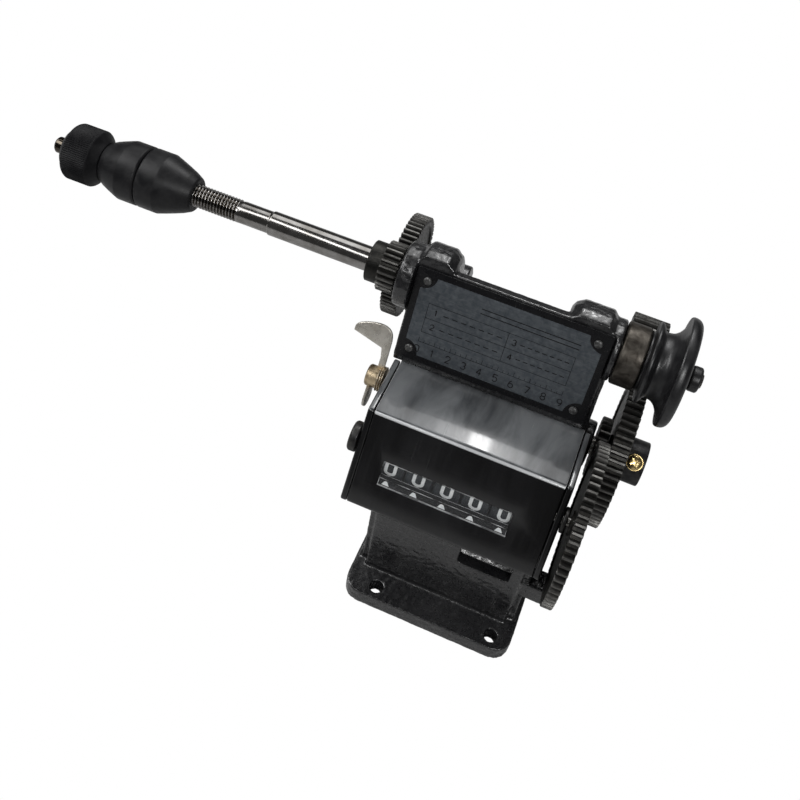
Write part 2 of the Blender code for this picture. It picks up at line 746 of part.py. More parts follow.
# The nameplate and its four rivets
plate_outline = [
    on_panel(-PLATE_HEIGHT / 2, -PLATE_THICKNESS),
    on_panel(PLATE_HEIGHT / 2, -PLATE_THICKNESS),
    on_panel(PLATE_HEIGHT / 2, 0),
    on_panel(-PLATE_HEIGHT / 2, 0),
]
add_bar(
    "nameplate",
    SPINDLE_AXIS,
    plate_outline,
    plate_middle_x - plate_width / 2,
    plate_middle_x + plate_width / 2,
    PLATE_METAL,
)
rivet_rows = (
    (0, RIVET_DIAMETER / 2),
    (RIVET_HEIGHT / 2, RIVET_DIAMETER / 2),
    (RIVET_HEIGHT, RIVET_DIAMETER / 4),
)
rivet_points, rivet_faces = turned(rivet_rows, SMALL_SIDES)
for number, (side, up) in enumerate(((-1, 1), (1, 1), (-1, -1), (1, -1)), 1):
    rivet_x = plate_middle_x + side * (plate_width / 2 - RIVET_INSET)
    seat = on_panel(up * (PLATE_HEIGHT / 2 - RIVET_INSET), SEAT_GAP)
    rivet = add_object(f"rivet_{number}", rivet_points, rivet_faces, world(rivet_x, seat), BRIGHT_STEEL)
    rivet.rotation_mode = "ZYX"
    rivet.rotation_euler = (-PLATE_LEAN, 0, -math.pi / 2)

# The spindle: a plain stub, the threaded end, a neck, the thick shaft and a short tail in the pulley
thread_radius = THREAD_DIAMETER / 2


def thread_profile(x):
    """The thread's radius round the shaft at x: a ridge that moves one pitch in one turn."""

    def radius(angle):
        phase = (x / THREAD_PITCH - angle / (2 * math.pi)) % 1
        return thread_radius - THREAD_DEPTH * abs(2 * phase - 1)

    return radius


spindle_rows = [
    (STUB_END, STUB_DIAMETER / 2 - EDGE_BREAK),
    (STUB_END + EDGE_BREAK, STUB_DIAMETER / 2),
    (STUB_END + STUB_LENGTH, STUB_DIAMETER / 2),
    (STUB_END + STUB_LENGTH + EDGE_BREAK, thread_radius - THREAD_DEPTH / 2),
    (THREAD_SHOWN_START - THREAD_PITCH, thread_radius - THREAD_DEPTH / 2),
]
thread_steps = round(THREAD_CUTS * (THREAD_END - THREAD_SHOWN_START) / THREAD_PITCH)
for k in range(thread_steps + 1):
    thread_x = THREAD_SHOWN_START + k * THREAD_PITCH / THREAD_CUTS
    spindle_rows.append((thread_x, thread_profile(thread_x)))
spindle_rows += [
    (THREAD_END + THREAD_PITCH, NECK_DIAMETER / 2),
    (STEP_AT, NECK_DIAMETER / 2),
    (STEP_AT + EDGE_BREAK, SHAFT_DIAMETER / 2),
    (shaft_end, SHAFT_DIAMETER / 2),
    (shaft_end, SPINDLE_TAIL_DIAMETER / 2),
    (spindle_tail_end - EDGE_BREAK, SPINDLE_TAIL_DIAMETER / 2),
    (spindle_tail_end, SPINDLE_TAIL_DIAMETER / 2 - EDGE_BREAK),
]
add_turned("spindle", SPINDLE_AXIS, spindle_rows, BRIGHT_STEEL, ROUND_SIDES, parent=spindle_axis)

# The knurled nut and the two cones that grip a bobbin
thread_bore = thread_radius + BORE_CLEARANCE


def knurl(angle):
    """Straight ridges along the nut: every other point of the ring stands proud."""
    ridge = round(angle * NUT_KNURLS / math.pi) % 2
    return NUT_DIAMETER / 2 - KNURL_DEPTH * ridge


nut_root = NUT_DIAMETER / 2 - KNURL_DEPTH
nut_rows = [
    (NUT_START, NUT_FACE_DIAMETER / 2),
    (NUT_KNURL_START - EDGE_BREAK, nut_root - EDGE_BREAK),
    (NUT_KNURL_START, knurl),
    (NUT_KNURL_END, knurl),
    (NUT_KNURL_END + EDGE_BREAK, nut_root - EDGE_BREAK),
    (NUT_END, NUT_FACE_DIAMETER / 2),
]
add_turned(
    "clamp_nut",
    SPINDLE_AXIS,
    nut_rows,
    BLACK_STEEL,
    2 * NUT_KNURLS,
    bore=thread_bore,
    parent=spindle_axis,
)


def cone_rows(nose_x, full_x, end_x, nose_diameter, steps=4):
    """A cone's side from its nose to its full size, bulging a little, then its straight rim."""
    rows = [(nose_x, nose_diameter / 2 - EDGE_BREAK)]
    rise = (CONE_DIAMETER - nose_diameter) / 2
    for k in range(steps + 1):
        share = k / steps
        bulge = CONE_BULGE_SHARE * share * (1 - share)
        x = nose_x + (full_x - nose_x) * share
        if k == 0:
            x += math.copysign(EDGE_BREAK, full_x - nose_x)
        rows.append((x, nose_diameter / 2 + rise * (share + bulge)))
    rows.append((end_x - math.copysign(EDGE_BREAK, end_x - full_x), CONE_DIAMETER / 2))
    rows.append((end_x, CONE_DIAMETER / 2 - EDGE_BREAK))
    return rows


outer_rows = cone_rows(OUTER_CONE_START, OUTER_CONE_FULL, OUTER_CONE_END, OUTER_NOSE_DIAMETER)
inner_rows = cone_rows(INNER_CONE_END, INNER_CONE_FULL, INNER_CONE_START, CONE_NOSE_DIAMETER)
inner_rows.reverse()
for label, rows in (("outer_cone", outer_rows), ("inner_cone", inner_rows)):
    add_turned(
        label,
        SPINDLE_AXIS,
        rows,
        SATIN_BLACK,
        FINE_SIDES,
        bore=thread_bore,
        parent=spindle_axis,
    )

# The gears. Each driving tooth points at the next axis, and each driven gear shows it a gap
to_shaft = direction(SPINDLE_AXIS, COUNTERSHAFT_AXIS)
to_crank = direction(COUNTERSHAFT_AXIS, CRANK_AXIS)
to_counter = direction(CRANK_AXIS, COUNTER_AXIS)
spindle_gear = gear_outline(SPINDLE_TEETH, FINE_MODULE, to_shaft)
wheel_gear = gear_outline(WHEEL_TEETH, FINE_MODULE, gap_first(WHEEL_TEETH, to_shaft + math.pi))
pinion_gear = gear_outline(PINION_TEETH, COARSE_MODULE, to_crank)
crank_gear = gear_outline(
    CRANK_WHEEL_TEETH, COARSE_MODULE, gap_first(CRANK_WHEEL_TEETH, to_crank + math.pi)
)
crank_pinion_gear = gear_outline(CRANK_PINION_TEETH, COARSE_MODULE, to_counter)
counter_gear = gear_outline(
    COUNTER_TEETH, COARSE_MODULE, gap_first(COUNTER_TEETH, to_counter + math.pi)
)


def add_gear(name, axis, layers, bore_radius, parent):
    points, faces = stack(layers, circle(bore_radius, SMALL_SIDES))
    return add_object(name, points, faces, world(0, axis), GEAR_STEEL, parent)


spindle_gear_root = FINE_MODULE * (SPINDLE_TEETH / 2 - DEDENDUM_SHARE)
hub_outline = circle(spindle_gear_root - HUB_STEP, ROUND_SIDES)
spindle_gear_end = spindle_gear_start + SPINDLE_GEAR_WIDTH
add_gear(
    "spindle_gear",
    SPINDLE_AXIS,
    [
        (hub_start, spindle_gear_start, hub_outline),
        (spindle_gear_start, spindle_gear_end, spindle_gear),
    ],
    SHAFT_DIAMETER / 2 + BORE_CLEARANCE,
    spindle_axis,
)
shaft_bore = SHAFT_RADIUS + BORE_CLEARANCE
add_gear(
    "countershaft_wheel",
    COUNTERSHAFT_AXIS,
    [(wheel_start, wheel_start + WHEEL_WIDTH, wheel_gear)],
    shaft_bore,
    countershaft_axis,
)
pinion_end = pinion_start + PINION_WIDTH
add_gear(
    "countershaft_pinion",
    COUNTERSHAFT_AXIS,
    [(pinion_start, pinion_end, pinion_gear)],
    shaft_bore,
    countershaft_axis,
)
add_gear(
    "crank_gear",
    CRANK_AXIS,
    [(crank_wheel_start, crank_wheel_start + CRANK_WHEEL_WIDTH, crank_gear)],
    shaft_bore,
    crank_axis,
)
crank_pinion_end = crank_pinion_start + CRANK_PINION_WIDTH
add_gear(
    "crank_pinion",
    CRANK_AXIS,
    [(crank_pinion_start, crank_pinion_end, crank_pinion_gear)],
    shaft_bore,
    crank_axis,
)
add_gear(
    "counter_gear",
    COUNTER_AXIS,
    [(crank_pinion_start, crank_pinion_end, counter_gear)],
    COUNTER_SHAFT_DIAMETER / 2 + BORE_CLEARANCE,
    counter_axis,
)

# The plain shafts that carry them
add_turned(
    "countershaft",
    COUNTERSHAFT_AXIS,
    chamfered(wheel_start - COUNTERSHAFT_OVERHANG, pinion_end + COUNTERSHAFT_OVERHANG, SHAFT_RADIUS),
    BRIGHT_STEEL,
    SMALL_SIDES,
    parent=countershaft_axis,
)
crank_hub_end = crank_hub_start + CRANK_HUB_LENGTH
add_turned(
    "crank_shaft",
    CRANK_AXIS,
    chamfered(crank_boss_start - COUNTERSHAFT_OVERHANG, crank_hub_end, SHAFT_RADIUS),
    BRIGHT_STEEL,
    SMALL_SIDES,
    parent=crank_axis,
)

# On the spindle beyond the frame: a plain collar, the belt pulley with its wide bell, and the end nut
shaft_seat = SHAFT_DIAMETER / 2 + BORE_CLEARANCE
add_turned(
    "collar",
    SPINDLE_AXIS,
    chamfered(collar_start, collar_end, COLLAR_DIAMETER / 2),
    WORN_STEEL,
    bore=shaft_seat,
    parent=spindle_axis,
)


def bell_rows(steps=5):
    """The pulley's flank, sweeping out from the groove to the widest part like a bell."""
    rows = []
    rise = (BELL_DIAMETER - GROOVE_DIAMETER) / 2
    for k in range(steps):
        angle = math.pi / 2 * k / steps
        x = groove_end + (bell_widest - groove_end) * math.sin(angle)
        rows.append((x, GROOVE_DIAMETER / 2 + rise * (1 - math.cos(angle))))
    return rows


def bell_edge(steps=4):
    """The bell's thick rim, rounding over from its widest part to its outer face."""
    rows = [
        (bell_widest, BELL_DIAMETER / 2 - EDGE_BREAK / 2),
        (bell_widest + EDGE_BREAK, BELL_DIAMETER / 2),
    ]
    for k in range(steps + 1):
        angle = math.pi / 2 * k / steps
        x = bell_end - BELL_ROUND * (1 - math.sin(angle))
        rows.append((x, BELL_DIAMETER / 2 - BELL_ROUND * (1 - math.cos(angle))))
    return rows


pulley_rows = [
    (collar_end + SEAT_GAP, PULLEY_NECK_DIAMETER / 2),
    (pulley_start, PULLEY_NECK_DIAMETER / 2),
    (pulley_start + EDGE_BREAK, PULLEY_FLANGE_DIAMETER / 2),
    (pulley_flange_end - EDGE_BREAK, PULLEY_FLANGE_DIAMETER / 2),
    (pulley_flange_end, PULLEY_FLANGE_DIAMETER / 2 - EDGE_BREAK),
    (groove_start, GROOVE_DIAMETER / 2),
    *bell_rows(),
    *bell_edge(),
    (pulley_end, PULLEY_HUB_DIAMETER / 2 + 2 * EDGE_BREAK),
    (pulley_end + EDGE_BREAK, PULLEY_HUB_DIAMETER / 2),
]
add_turned(
    "pulley",
    SPINDLE_AXIS,
    pulley_rows,
    SATIN_BLACK,
    FINE_SIDES,
    bore=shaft_seat,
    parent=spindle_axis,
)
end_nut_start = pulley_end + EDGE_BREAK + SEAT_GAP
add_turned(
    "end_nut",
    SPINDLE_AXIS,
    chamfered(end_nut_start, end_nut_start + END_NUT_LENGTH, END_NUT_DIAMETER / 2),
    SATIN_BLACK,
    bore=SPINDLE_TAIL_DIAMETER / 2 + BORE_CLEARANCE,
    parent=spindle_axis,
)

# The crank's hub, with a flat for the washer of the brass screw that clamps a crank in it
screw_x = crank_hub_start + CRANK_HUB_LENGTH / 2
screw_seat = CRANK_HUB_DIAMETER / 2 - SCREW_FLAT_DEPTH
screw_radius = SCREW_HEAD_DIAMETER / 4
crank_hub = add_turned(
    "crank_hub",
    CRANK_AXIS,
    chamfered(crank_hub_start, crank_hub_end, CRANK_HUB_DIAMETER / 2),
    BLACK_STEEL,
    bore=shaft_bore,
    parent=crank_axis,
)


def aim_from_crank(made):
    """Turns a body that was made about X so that it points out of the crank's hub."""
    made.rotation_mode = "ZYX"
    made.rotation_euler = (SCREW_ANGLE, 0, math.pi / 2)
    return made


def add_radial(name, rows, finish=None, sides=SMALL_SIDES, bore=0):
    """A body turned about the screw's axis; its rows start from the middle of the crank shaft."""
    points, faces = turned(rows, sides, bore)
    made = add_object(name, points, faces, world(screw_x, CRANK_AXIS), finish, crank_axis)
    return aim_from_crank(made)


spot_face = add_radial(
    "spot_face",
    [
        (screw_seat, SCREW_WASHER_DIAMETER / 2 + SEAT_GAP),
        (CRANK_HUB_DIAMETER, SCREW_WASHER_DIAMETER / 2 + SEAT_GAP),
    ],
)
screw_hole = add_radial(
    "screw_hole",
    [(0, screw_radius + BORE_CLEARANCE), (CRANK_HUB_DIAMETER, screw_radius + BORE_CLEARANCE)],
)
boolean(crank_hub, spot_face, "DIFFERENCE")
boolean(crank_hub, screw_hole, "DIFFERENCE")
washer_start = screw_seat + SEAT_GAP
washer_end = washer_start + SCREW_WASHER_THICKNESS
add_radial(
    "screw_washer",
    [(washer_start, SCREW_WASHER_DIAMETER / 2), (washer_end, SCREW_WASHER_DIAMETER / 2)],
    BRASS,
    bore=screw_radius + BORE_CLEARANCE,
)
head_start = washer_end + SEAT_GAP
head_end = head_start + SCREW_HEAD_HEIGHT
crank_screw = add_radial(
    "crank_screw",
    [
        (SHAFT_RADIUS + SEAT_GAP, screw_radius),
        (head_start, screw_radius),
        (head_start, SCREW_HEAD_DIAMETER / 2),
        (head_end - SCREW_HEAD_HEIGHT / 2, SCREW_HEAD_DIAMETER / 2),
        (head_end, SCREW_HEAD_DIAMETER / 4),
    ],
    BRASS,
)
slot_reach = SCREW_HEAD_DIAMETER / 2 * SCREW_SLOT_SHARE
for label, half_width, half_height in (
    ("slot_across", slot_reach, SCREW_SLOT / 2),
    ("slot_along", SCREW_SLOT / 2, slot_reach),
):
    slot_outline = [
        (-half_width, -half_height),
        (half_width, -half_height),
        (half_width, half_height),
        (-half_width, half_height),
    ]
    slot_points, slot_faces = prism(slot_outline, head_end - SCREW_HEAD_HEIGHT / 2, 2 * head_end)
    slot = add_object(
        label, slot_points, slot_faces, world(screw_x, CRANK_AXIS), None, crank_axis
    )
    boolean(crank_screw, aim_from_crank(slot), "DIFFERENCE")

# The counter's case: two side plates and a folded cover between them, whose sloping face has the window
case_outline = [
    (CASE_TOP_FRONT_Y, -CASE_TOP_DROP),
    (CASE_NOSE_Y, CASE_LIP - case_bottom_drop),
    (CASE_UNDER_Y, -case_bottom_drop),
    (CASE_BACK_Y, -case_bottom_drop),
    (CASE_BACK_Y, -CASE_TOP_DROP),
]
face_length = math.hypot(CASE_NOSE_Y - CASE_TOP_FRONT_Y, CASE_HEIGHT - CASE_LIP)
face_down = (
    (CASE_NOSE_Y - CASE_TOP_FRONT_Y) / face_length,
    (CASE_LIP - CASE_HEIGHT) / face_length,
)
face_out = (face_down[1], -face_down[0])


def on_face(down, out):
    """A point (y, z) at a distance down the case's sloping face and out from it."""
    return (
        CASE_TOP_FRONT_Y + down * face_down[0] + out * face_out[0],
        -CASE_TOP_DROP + down * face_down[1] + out * face_out[1],
    )


def inset(outline, distance):
    """The outline (y, z), which runs anticlockwise, moved inwards by a distance on every side."""
    moved = []
    count = len(outline)
    for k in range(count):
        before, here, after = outline[k - 1], outline[k], outline[(k + 1) % count]
        first = math.atan2(here[1] - before[1], here[0] - before[0])
        second = math.atan2(after[1] - here[1], after[0] - here[0])
        half = (first + second) / 2 + (math.pi if abs(second - first) > math.pi else 0)
        reach = distance / math.cos(half - first)
        moved.append((here[0] - reach * math.sin(half), here[1] + reach * math.cos(half)))
    return moved


def pierced(outline, holes, start, end):
    """A plate or a tube along X with straight holes, all given as outlines (y, z)."""
    loops = [outline, *holes]
    flat = [point for loop in loops for point in loop]
    points = [(x, y, z) for x in (start, end) for y, z in flat]
    total = len(flat)
    faces = []
    for triangle in tessellate_polygon([[(y, z, 0) for y, z in loop] for loop in loops]):
        faces.append(tuple(triangle))
        faces.append(tuple(i + total for i in reversed(triangle)))
    first = 0
    for loop in loops:
        for k in range(len(loop)):
            a, b = first + k, first + (k + 1) % len(loop)
            faces.append((a, b, b + total, a + total))
        first += len(loop)
    return points, faces


def hole_at(axis, radius):
    return [(axis[0] + y, axis[1] + z) for y, z in circle(radius, SMALL_SIDES)]


window_middle = face_length / 2 + WINDOW_SHIFT_DOWN
# The digit wheels are as large as fits between the window and the case's floor
wheel_front = on_face(window_middle - DIGIT_RISE, -CASE_WALL - DIGIT_FACE_GAP)
wheel_floor = CASE_WALL + DIGIT_FLOOR_GAP - case_bottom_drop
digit_radius = (wheel_front[1] - wheel_floor) / (1 + face_out[1])
digit_depth = CASE_WALL + DIGIT_FACE_GAP + digit_radius
DIGIT_AXIS = on_face(window_middle - DIGIT_RISE, -digit_depth)
KNOB_AXIS = (KNOB_Y, -KNOB_DROP)
cover_points, cover_faces = pierced(
    case_outline, [inset(case_outline, CASE_WALL)], case_start, case_end
)
cover = add_object("counter_cover", cover_points, cover_faces, world(0), CASE_BLACK)
window_outline = [
    on_face(window_middle - WINDOW_HEIGHT / 2, CASE_WALL),
    on_face(window_middle + WINDOW_HEIGHT / 2, CASE_WALL),
    on_face(window_middle + WINDOW_HEIGHT / 2, -2 * CASE_WALL),
    on_face(window_middle - WINDOW_HEIGHT / 2, -2 * CASE_WALL),
]
window_width = WINDOW_WIDTH_SHARE * CASE_WIDTH
window_x = case_middle + WINDOW_SHIFT_SHARE * CASE_WIDTH
window_left = window_x - window_width / 2
window_right = window_x + window_width / 2
window = add_bar("window", SPINDLE_AXIS, window_outline, window_left, window_right)
boolean(cover, window, "DIFFERENCE")
glass_top = window_middle - WINDOW_HEIGHT / 2 + SEAT_GAP
glass_foot = window_middle + WINDOW_HEIGHT / 2 - SEAT_GAP
glass_outline = [
    on_face(glass_top, -SEAT_GAP),
    on_face(glass_foot, -SEAT_GAP),
    on_face(glass_foot, -SEAT_GAP - WINDOW_GLASS),
    on_face(glass_top, -SEAT_GAP - WINDOW_GLASS),
]
add_bar(
    "window_cover",
    SPINDLE_AXIS,
    glass_outline,
    window_left + SEAT_GAP,
    window_right - SEAT_GAP,
    GLASS,
)

axle_hole = hole_at(DIGIT_AXIS, DIGIT_AXLE_DIAMETER / 2 + BORE_CLEARANCE)
drive_hole = hole_at(COUNTER_AXIS, COUNTER_SHAFT_DIAMETER / 2 + BORE_CLEARANCE)
knob_hole = hole_at(KNOB_AXIS, KNOB_STEM_DIAMETER / 2 + BORE_CLEARANCE)
side_plates = (
    ("counter_left_plate", left_outer, case_start - SEAT_GAP, [axle_hole, drive_hole, knob_hole]),
    ("counter_right_plate", case_end + SEAT_GAP, right_outer, [axle_hole, drive_hole]),
)
for label, start, end, holes in side_plates:
    plate_points, plate_faces = pierced(case_outline, holes, start, end)
    add_object(label, plate_points, plate_faces, world(0), CASE_BLACK)

# The digit wheels on their axle
add_turned(
    "digit_axle",
    DIGIT_AXIS,
    [(left_outer, DIGIT_AXLE_DIAMETER / 2), (right_outer, DIGIT_AXLE_DIAMETER / 2)],
    BRIGHT_STEEL,
    SMALL_SIDES,
)
digit_pitch = DIGIT_PITCH_SHARE * window_width
for number in range(DIGIT_COUNT):
    wheel_x = window_x + digit_pitch * ((DIGIT_COUNT - 1) / 2 - number)
    half = (digit_pitch - DIGIT_SPACING) / 2
    wheel_points, wheel_faces = turned(
        chamfered(-half, half, digit_radius, EDGE_BREAK / 2),
        SMALL_SIDES,
        bore=DIGIT_AXLE_DIAMETER / 2 + BORE_CLEARANCE,
    )
    add_object(
        f"digit_wheel_{number + 1}",
        wheel_points,
        wheel_faces,
        world(wheel_x, DIGIT_AXIS),
        DIGIT_BLACK,
    )

# The shaft that drives the counter, with a ring outside the right plate, and the cap on the left plate
add_turned(
    "counter_shaft",
    COUNTER_AXIS,
    chamfered(
        case_end - COUNTER_SHAFT_INSIDE,
        crank_pinion_end + COUNTER_BOSS_LENGTH,
        COUNTER_SHAFT_DIAMETER / 2,
    ),
    BRIGHT_STEEL,
    SMALL_SIDES,
    parent=counter_axis,
)
counter_ring_bore = COUNTER_SHAFT_DIAMETER / 2 + BORE_CLEARANCE
cap_rows = [
    (left_outer - COUNTER_END_LENGTH - SEAT_GAP, COUNTER_END_DIAMETER / 2 - EDGE_BREAK),
    (left_outer - COUNTER_END_LENGTH - SEAT_GAP + EDGE_BREAK, COUNTER_END_DIAMETER / 2),
    (left_outer - SEAT_GAP, COUNTER_END_DIAMETER / 2),
    (left_outer - SEAT_GAP, COUNTER_SHAFT_DIAMETER / 2),
    (case_start - SEAT_GAP, COUNTER_SHAFT_DIAMETER / 2),
]
add_turned("counter_end_cap", COUNTER_AXIS, cap_rows, BLACK_STEEL)
add_turned(
    "counter_gear_ring",
    COUNTER_AXIS,
    chamfered(
        right_outer + SEAT_GAP,
        right_outer + SEAT_GAP + COUNTER_BOSS_LENGTH,
        COUNTER_BOSS_DIAMETER / 2,
        EDGE_BREAK / 2,
    ),
    BLACK_STEEL,
    bore=counter_ring_bore,
    parent=counter_axis,
)

# The butterfly knob: a stem in the side plate, a collar, a hub and two wings that sweep outwards
knob_start = left_outer - KNOB_GAP
hub_far = knob_start - KNOB_COLLAR_LENGTH - KNOB_HUB_LENGTH
knob_rows = [
    (hub_far, KNOB_HUB_DIAMETER / 2 - EDGE_BREAK),
    (hub_far + EDGE_BREAK, KNOB_HUB_DIAMETER / 2),
    (knob_start - KNOB_COLLAR_LENGTH, KNOB_HUB_DIAMETER / 2),
    (knob_start - KNOB_COLLAR_LENGTH, KNOB_COLLAR_DIAMETER / 2),
    (knob_start - EDGE_BREAK, KNOB_COLLAR_DIAMETER / 2),
    (knob_start, KNOB_COLLAR_DIAMETER / 2 - EDGE_BREAK),
    (knob_start, KNOB_STEM_DIAMETER / 2),
    (case_start - SEAT_GAP, KNOB_STEM_DIAMETER / 2),
]
knob = add_turned("reset_knob", KNOB_AXIS, knob_rows, NICKEL)
hub_middle = knob_start - KNOB_COLLAR_LENGTH - KNOB_HUB_LENGTH / 2


def wing_outline(steps=12):
    """The upper wing seen flat, as (x, distance from the knob's axis): a neck and a half-round flag."""
    right = knob_start - WING_RIGHT_GAP
    left = right - WING_SPREAD
    neck_left = right - WING_NECK_WIDTH
    outline = [(neck_left, WING_THICKNESS / 2), (neck_left, WING_FLAT_RIGHT)]
    for k in range(steps + 1):
        across = (1 - math.cos(math.pi * k / steps)) / 2
        flat = WING_FLAT_LEFT + across * (WING_FLAT_RIGHT - WING_FLAT_LEFT)
        bulge = WING_BULGE * math.sqrt(math.sin(math.pi * k / steps)) if 0 < k < steps else 0
        outline.append((left + across * WING_SPREAD, flat + bulge))
    outline.append((right, WING_THICKNESS / 2))
    return outline


def lower_wing_outline(steps=12):
    """The lower wing seen along X, as (y, z) round the knob's axis, opposite the upper one."""
    along = (-math.cos(WING_ANGLE), -math.sin(WING_ANGLE))
    half = LOWER_WING_WIDTH / 2
    flat = [(-half, 0)]
    for k in range(steps + 1):
        angle = math.pi - math.pi * k / steps
        flat.append((half * math.cos(angle), LOWER_WING_REACH - half + half * math.sin(angle)))
    flat.append((half, 0))
    return [(u * along[1] + v * along[0], v * along[1] - u * along[0]) for u, v in flat]


upper_points, upper_faces = prism(wing_outline(), -WING_THICKNESS / 2, WING_THICKNESS / 2, "z")
upper_wing = add_object("upper_wing", upper_points, upper_faces, world(0, KNOB_AXIS))
upper_wing.rotation_euler = (WING_ANGLE, 0, 0)
boolean(knob, upper_wing, "UNION")
lower_wing = add_bar(
    "lower_wing",
    KNOB_AXIS,
    lower_wing_outline(),
    hub_middle - WING_THICKNESS / 2,
    hub_middle + WING_THICKNESS / 2,
)
boolean(knob, lower_wing, "UNION")
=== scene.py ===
"""Looks of the coil winder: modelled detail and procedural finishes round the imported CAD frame.

Metres, in the frame's own axes: X along the spindle, Y towards the back, Z up. Every piece takes its
place from the CAD node that it stands for, and rides on that node's body.
"""

import json
import math

import bmesh
import bpy
from mathutils import Matrix, Vector, noise

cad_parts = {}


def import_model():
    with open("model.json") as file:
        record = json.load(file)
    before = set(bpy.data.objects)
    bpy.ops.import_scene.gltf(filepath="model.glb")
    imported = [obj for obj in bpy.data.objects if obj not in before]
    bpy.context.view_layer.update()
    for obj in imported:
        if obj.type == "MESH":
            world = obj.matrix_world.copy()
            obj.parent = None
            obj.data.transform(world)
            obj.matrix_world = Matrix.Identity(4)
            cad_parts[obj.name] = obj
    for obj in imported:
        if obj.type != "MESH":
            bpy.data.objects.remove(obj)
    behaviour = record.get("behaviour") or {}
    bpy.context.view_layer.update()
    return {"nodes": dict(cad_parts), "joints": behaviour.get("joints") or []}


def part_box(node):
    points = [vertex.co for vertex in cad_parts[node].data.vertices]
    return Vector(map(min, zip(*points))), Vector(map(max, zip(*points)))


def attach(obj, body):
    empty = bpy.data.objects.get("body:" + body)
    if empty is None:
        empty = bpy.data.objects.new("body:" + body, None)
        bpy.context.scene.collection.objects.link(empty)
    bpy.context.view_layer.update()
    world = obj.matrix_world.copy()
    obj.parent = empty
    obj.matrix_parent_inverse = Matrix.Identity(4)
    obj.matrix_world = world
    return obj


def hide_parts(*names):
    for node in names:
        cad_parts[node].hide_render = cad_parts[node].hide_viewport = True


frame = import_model()

MM = 0.001

# How finely round pieces are cut
FINE_SIDES = 128
SMALL_SIDES = 64
FILLET_STEPS = 4
DOME_STEPS = 7
EDGE_ROUND = 0.35 * MM
SMOOTH_LIMIT = math.radians(34)
THREAD_SMOOTH_LIMIT = math.radians(50)
GEAR_SMOOTH_LIMIT = math.radians(28)
BEVEL_LIMIT = math.radians(38)
BEVEL_SEGMENTS = 3

# How much of a side the arc at its end may take, and where the mitre of a sharp corner stops growing
FILLET_SHARE = 0.45
FOLD_SHARE = 0.4
SHARPEST_MITRE = 0.5

# How closely places and angles are compared
TOUCH = 0.1 * MM
NEAR_ZERO = 1e-9
PLACE_DECIMALS = 5
LEVEL_DECIMALS = 4
ANGLE_DECIMALS = 3
SAME_ANGLE = 0.004

# The casting
CAST_VOXEL = 0.7 * MM
CAST_SMOOTHING = 2
CAST_SMOOTH_FACTOR = 0.5
HAMMER_DEPTH = 0.14 * MM
HAMMER_SIZE = 3.2 * MM
HAMMER_LEVEL = 0.5
# The hammering's smoothness, its step in scale and its number of layers
HAMMER_NOISE = (0.6, 2.0, 3)

# The spindle's thread
THREAD_PITCH = 1.75 * MM
THREAD_DEPTH = 0.95 * MM
THREAD_STEPS = 16
THREAD_CREST = 6 * MM
# Up to the first radius the thread's roots carry painted shade, and from the second it is bright steel
THREAD_SHADE_TO = 5.15 * MM
THREAD_BRIGHT_FROM = 5.9 * MM
CREST_SHARE = 0.16
THREAD_ROOT_SHARE = 0.1
THREAD_END = -157.5 * MM
STUB_LENGTH = 13 * MM

# What is clamped on the spindle
CONE_ROUND = 0.3 * MM
COLLAR_ROUND = 0.6 * MM
PULLEY_ROUND = 0.9 * MM
END_NUT_ROUND = 1.2 * MM
NUT_RIDGES = 88
SIDES_PER_RIDGE = 4
NUT_RIDGE_DEPTH = 0.42 * MM
NUT_CHAMFER = 1 * MM
NUT_LEAD = 0.4 * MM

# Gears
GEAR_WEB_DEPTH = 0.9 * MM
GEAR_RIM = 2.2 * MM
GEAR_BOSS_WALL = 3.2 * MM
GEAR_WEB_LEAST = 3 * MM
GEAR_TIP_BREAK = 0.35 * MM
FLANK_BULGE_SHARE = 0.013
ROOT_SHARE = 0.62
PITCH_SHARE = 0.44
TIP_SHARE = 0.24
ADDENDUM_SHARE = 1.0
DEDENDUM_SHARE = 1.25

# The crank's hub and its screw
HUB_ROUND = 0.9 * MM
SEAT_MARGIN = 0.3 * MM
SEAT_BEVEL = 0.25 * MM
SHANK_GAP = 0.2 * MM
DOME_HEIGHT = 1.9 * MM
SLOT_TURN = math.radians(35)
SLOT_REACH = 2.5 * MM
SLOT_HALF = 0.5 * MM
SLOT_DEPTH = 1.3 * MM
SLOT_BEVEL = 0.12 * MM

# The counter
FOLD_RADIUS = 2.2 * MM
SHEET_EDGE = 0.5 * MM
SHEET_BEVEL = 0.22 * MM
COVER_THICKNESS = 1.9 * MM
# How far the cover's rear top corner reaches back: a dark sheet that stands in for the shade in the gap under
# the nameplate
COVER_SHADE_TAIL = 1.6 * MM
END_CAP_ROUND = 0.8 * MM
PLATE_CORNER = 1.6 * MM
PLATE_EDGE = 0.8 * MM
GLASS_BACK = 1.5 * MM
GLASS_FRONT = 0.4 * MM
GLASS_EDGE = 0.2 * MM
WINDOW_GAP = 0.3 * MM
DIGIT_WHEELS = 5
FIGURES = 10
DIGIT_HEIGHT = 9.0 * MM
DIGIT_FIGURE_WIDTH = 6.4 * MM
DIGIT_STROKE = 1.7 * MM
FIGURE_RELIEF = 0.06 * MM
DIGIT_TURN = math.radians(6.5)
LEDGE_SHARE = 0.44
LEDGE_LINE_SHARE = 0.3
LEDGE_DEPTH = 1.9 * MM
LEDGE_THICKNESS = 0.3 * MM
MARK_WIDTH = 3.9 * MM
MARK_HEIGHT = 2.2 * MM
MARK_SHOULDER_SHARE = 0.8
MARK_RELIEF = 0.08 * MM
# Width and relief of the strips that carry painted glints along the cover's edges and the ledge
COVER_LINE = 0.24 * MM
COVER_LINE_RELIEF = 0.1 * MM

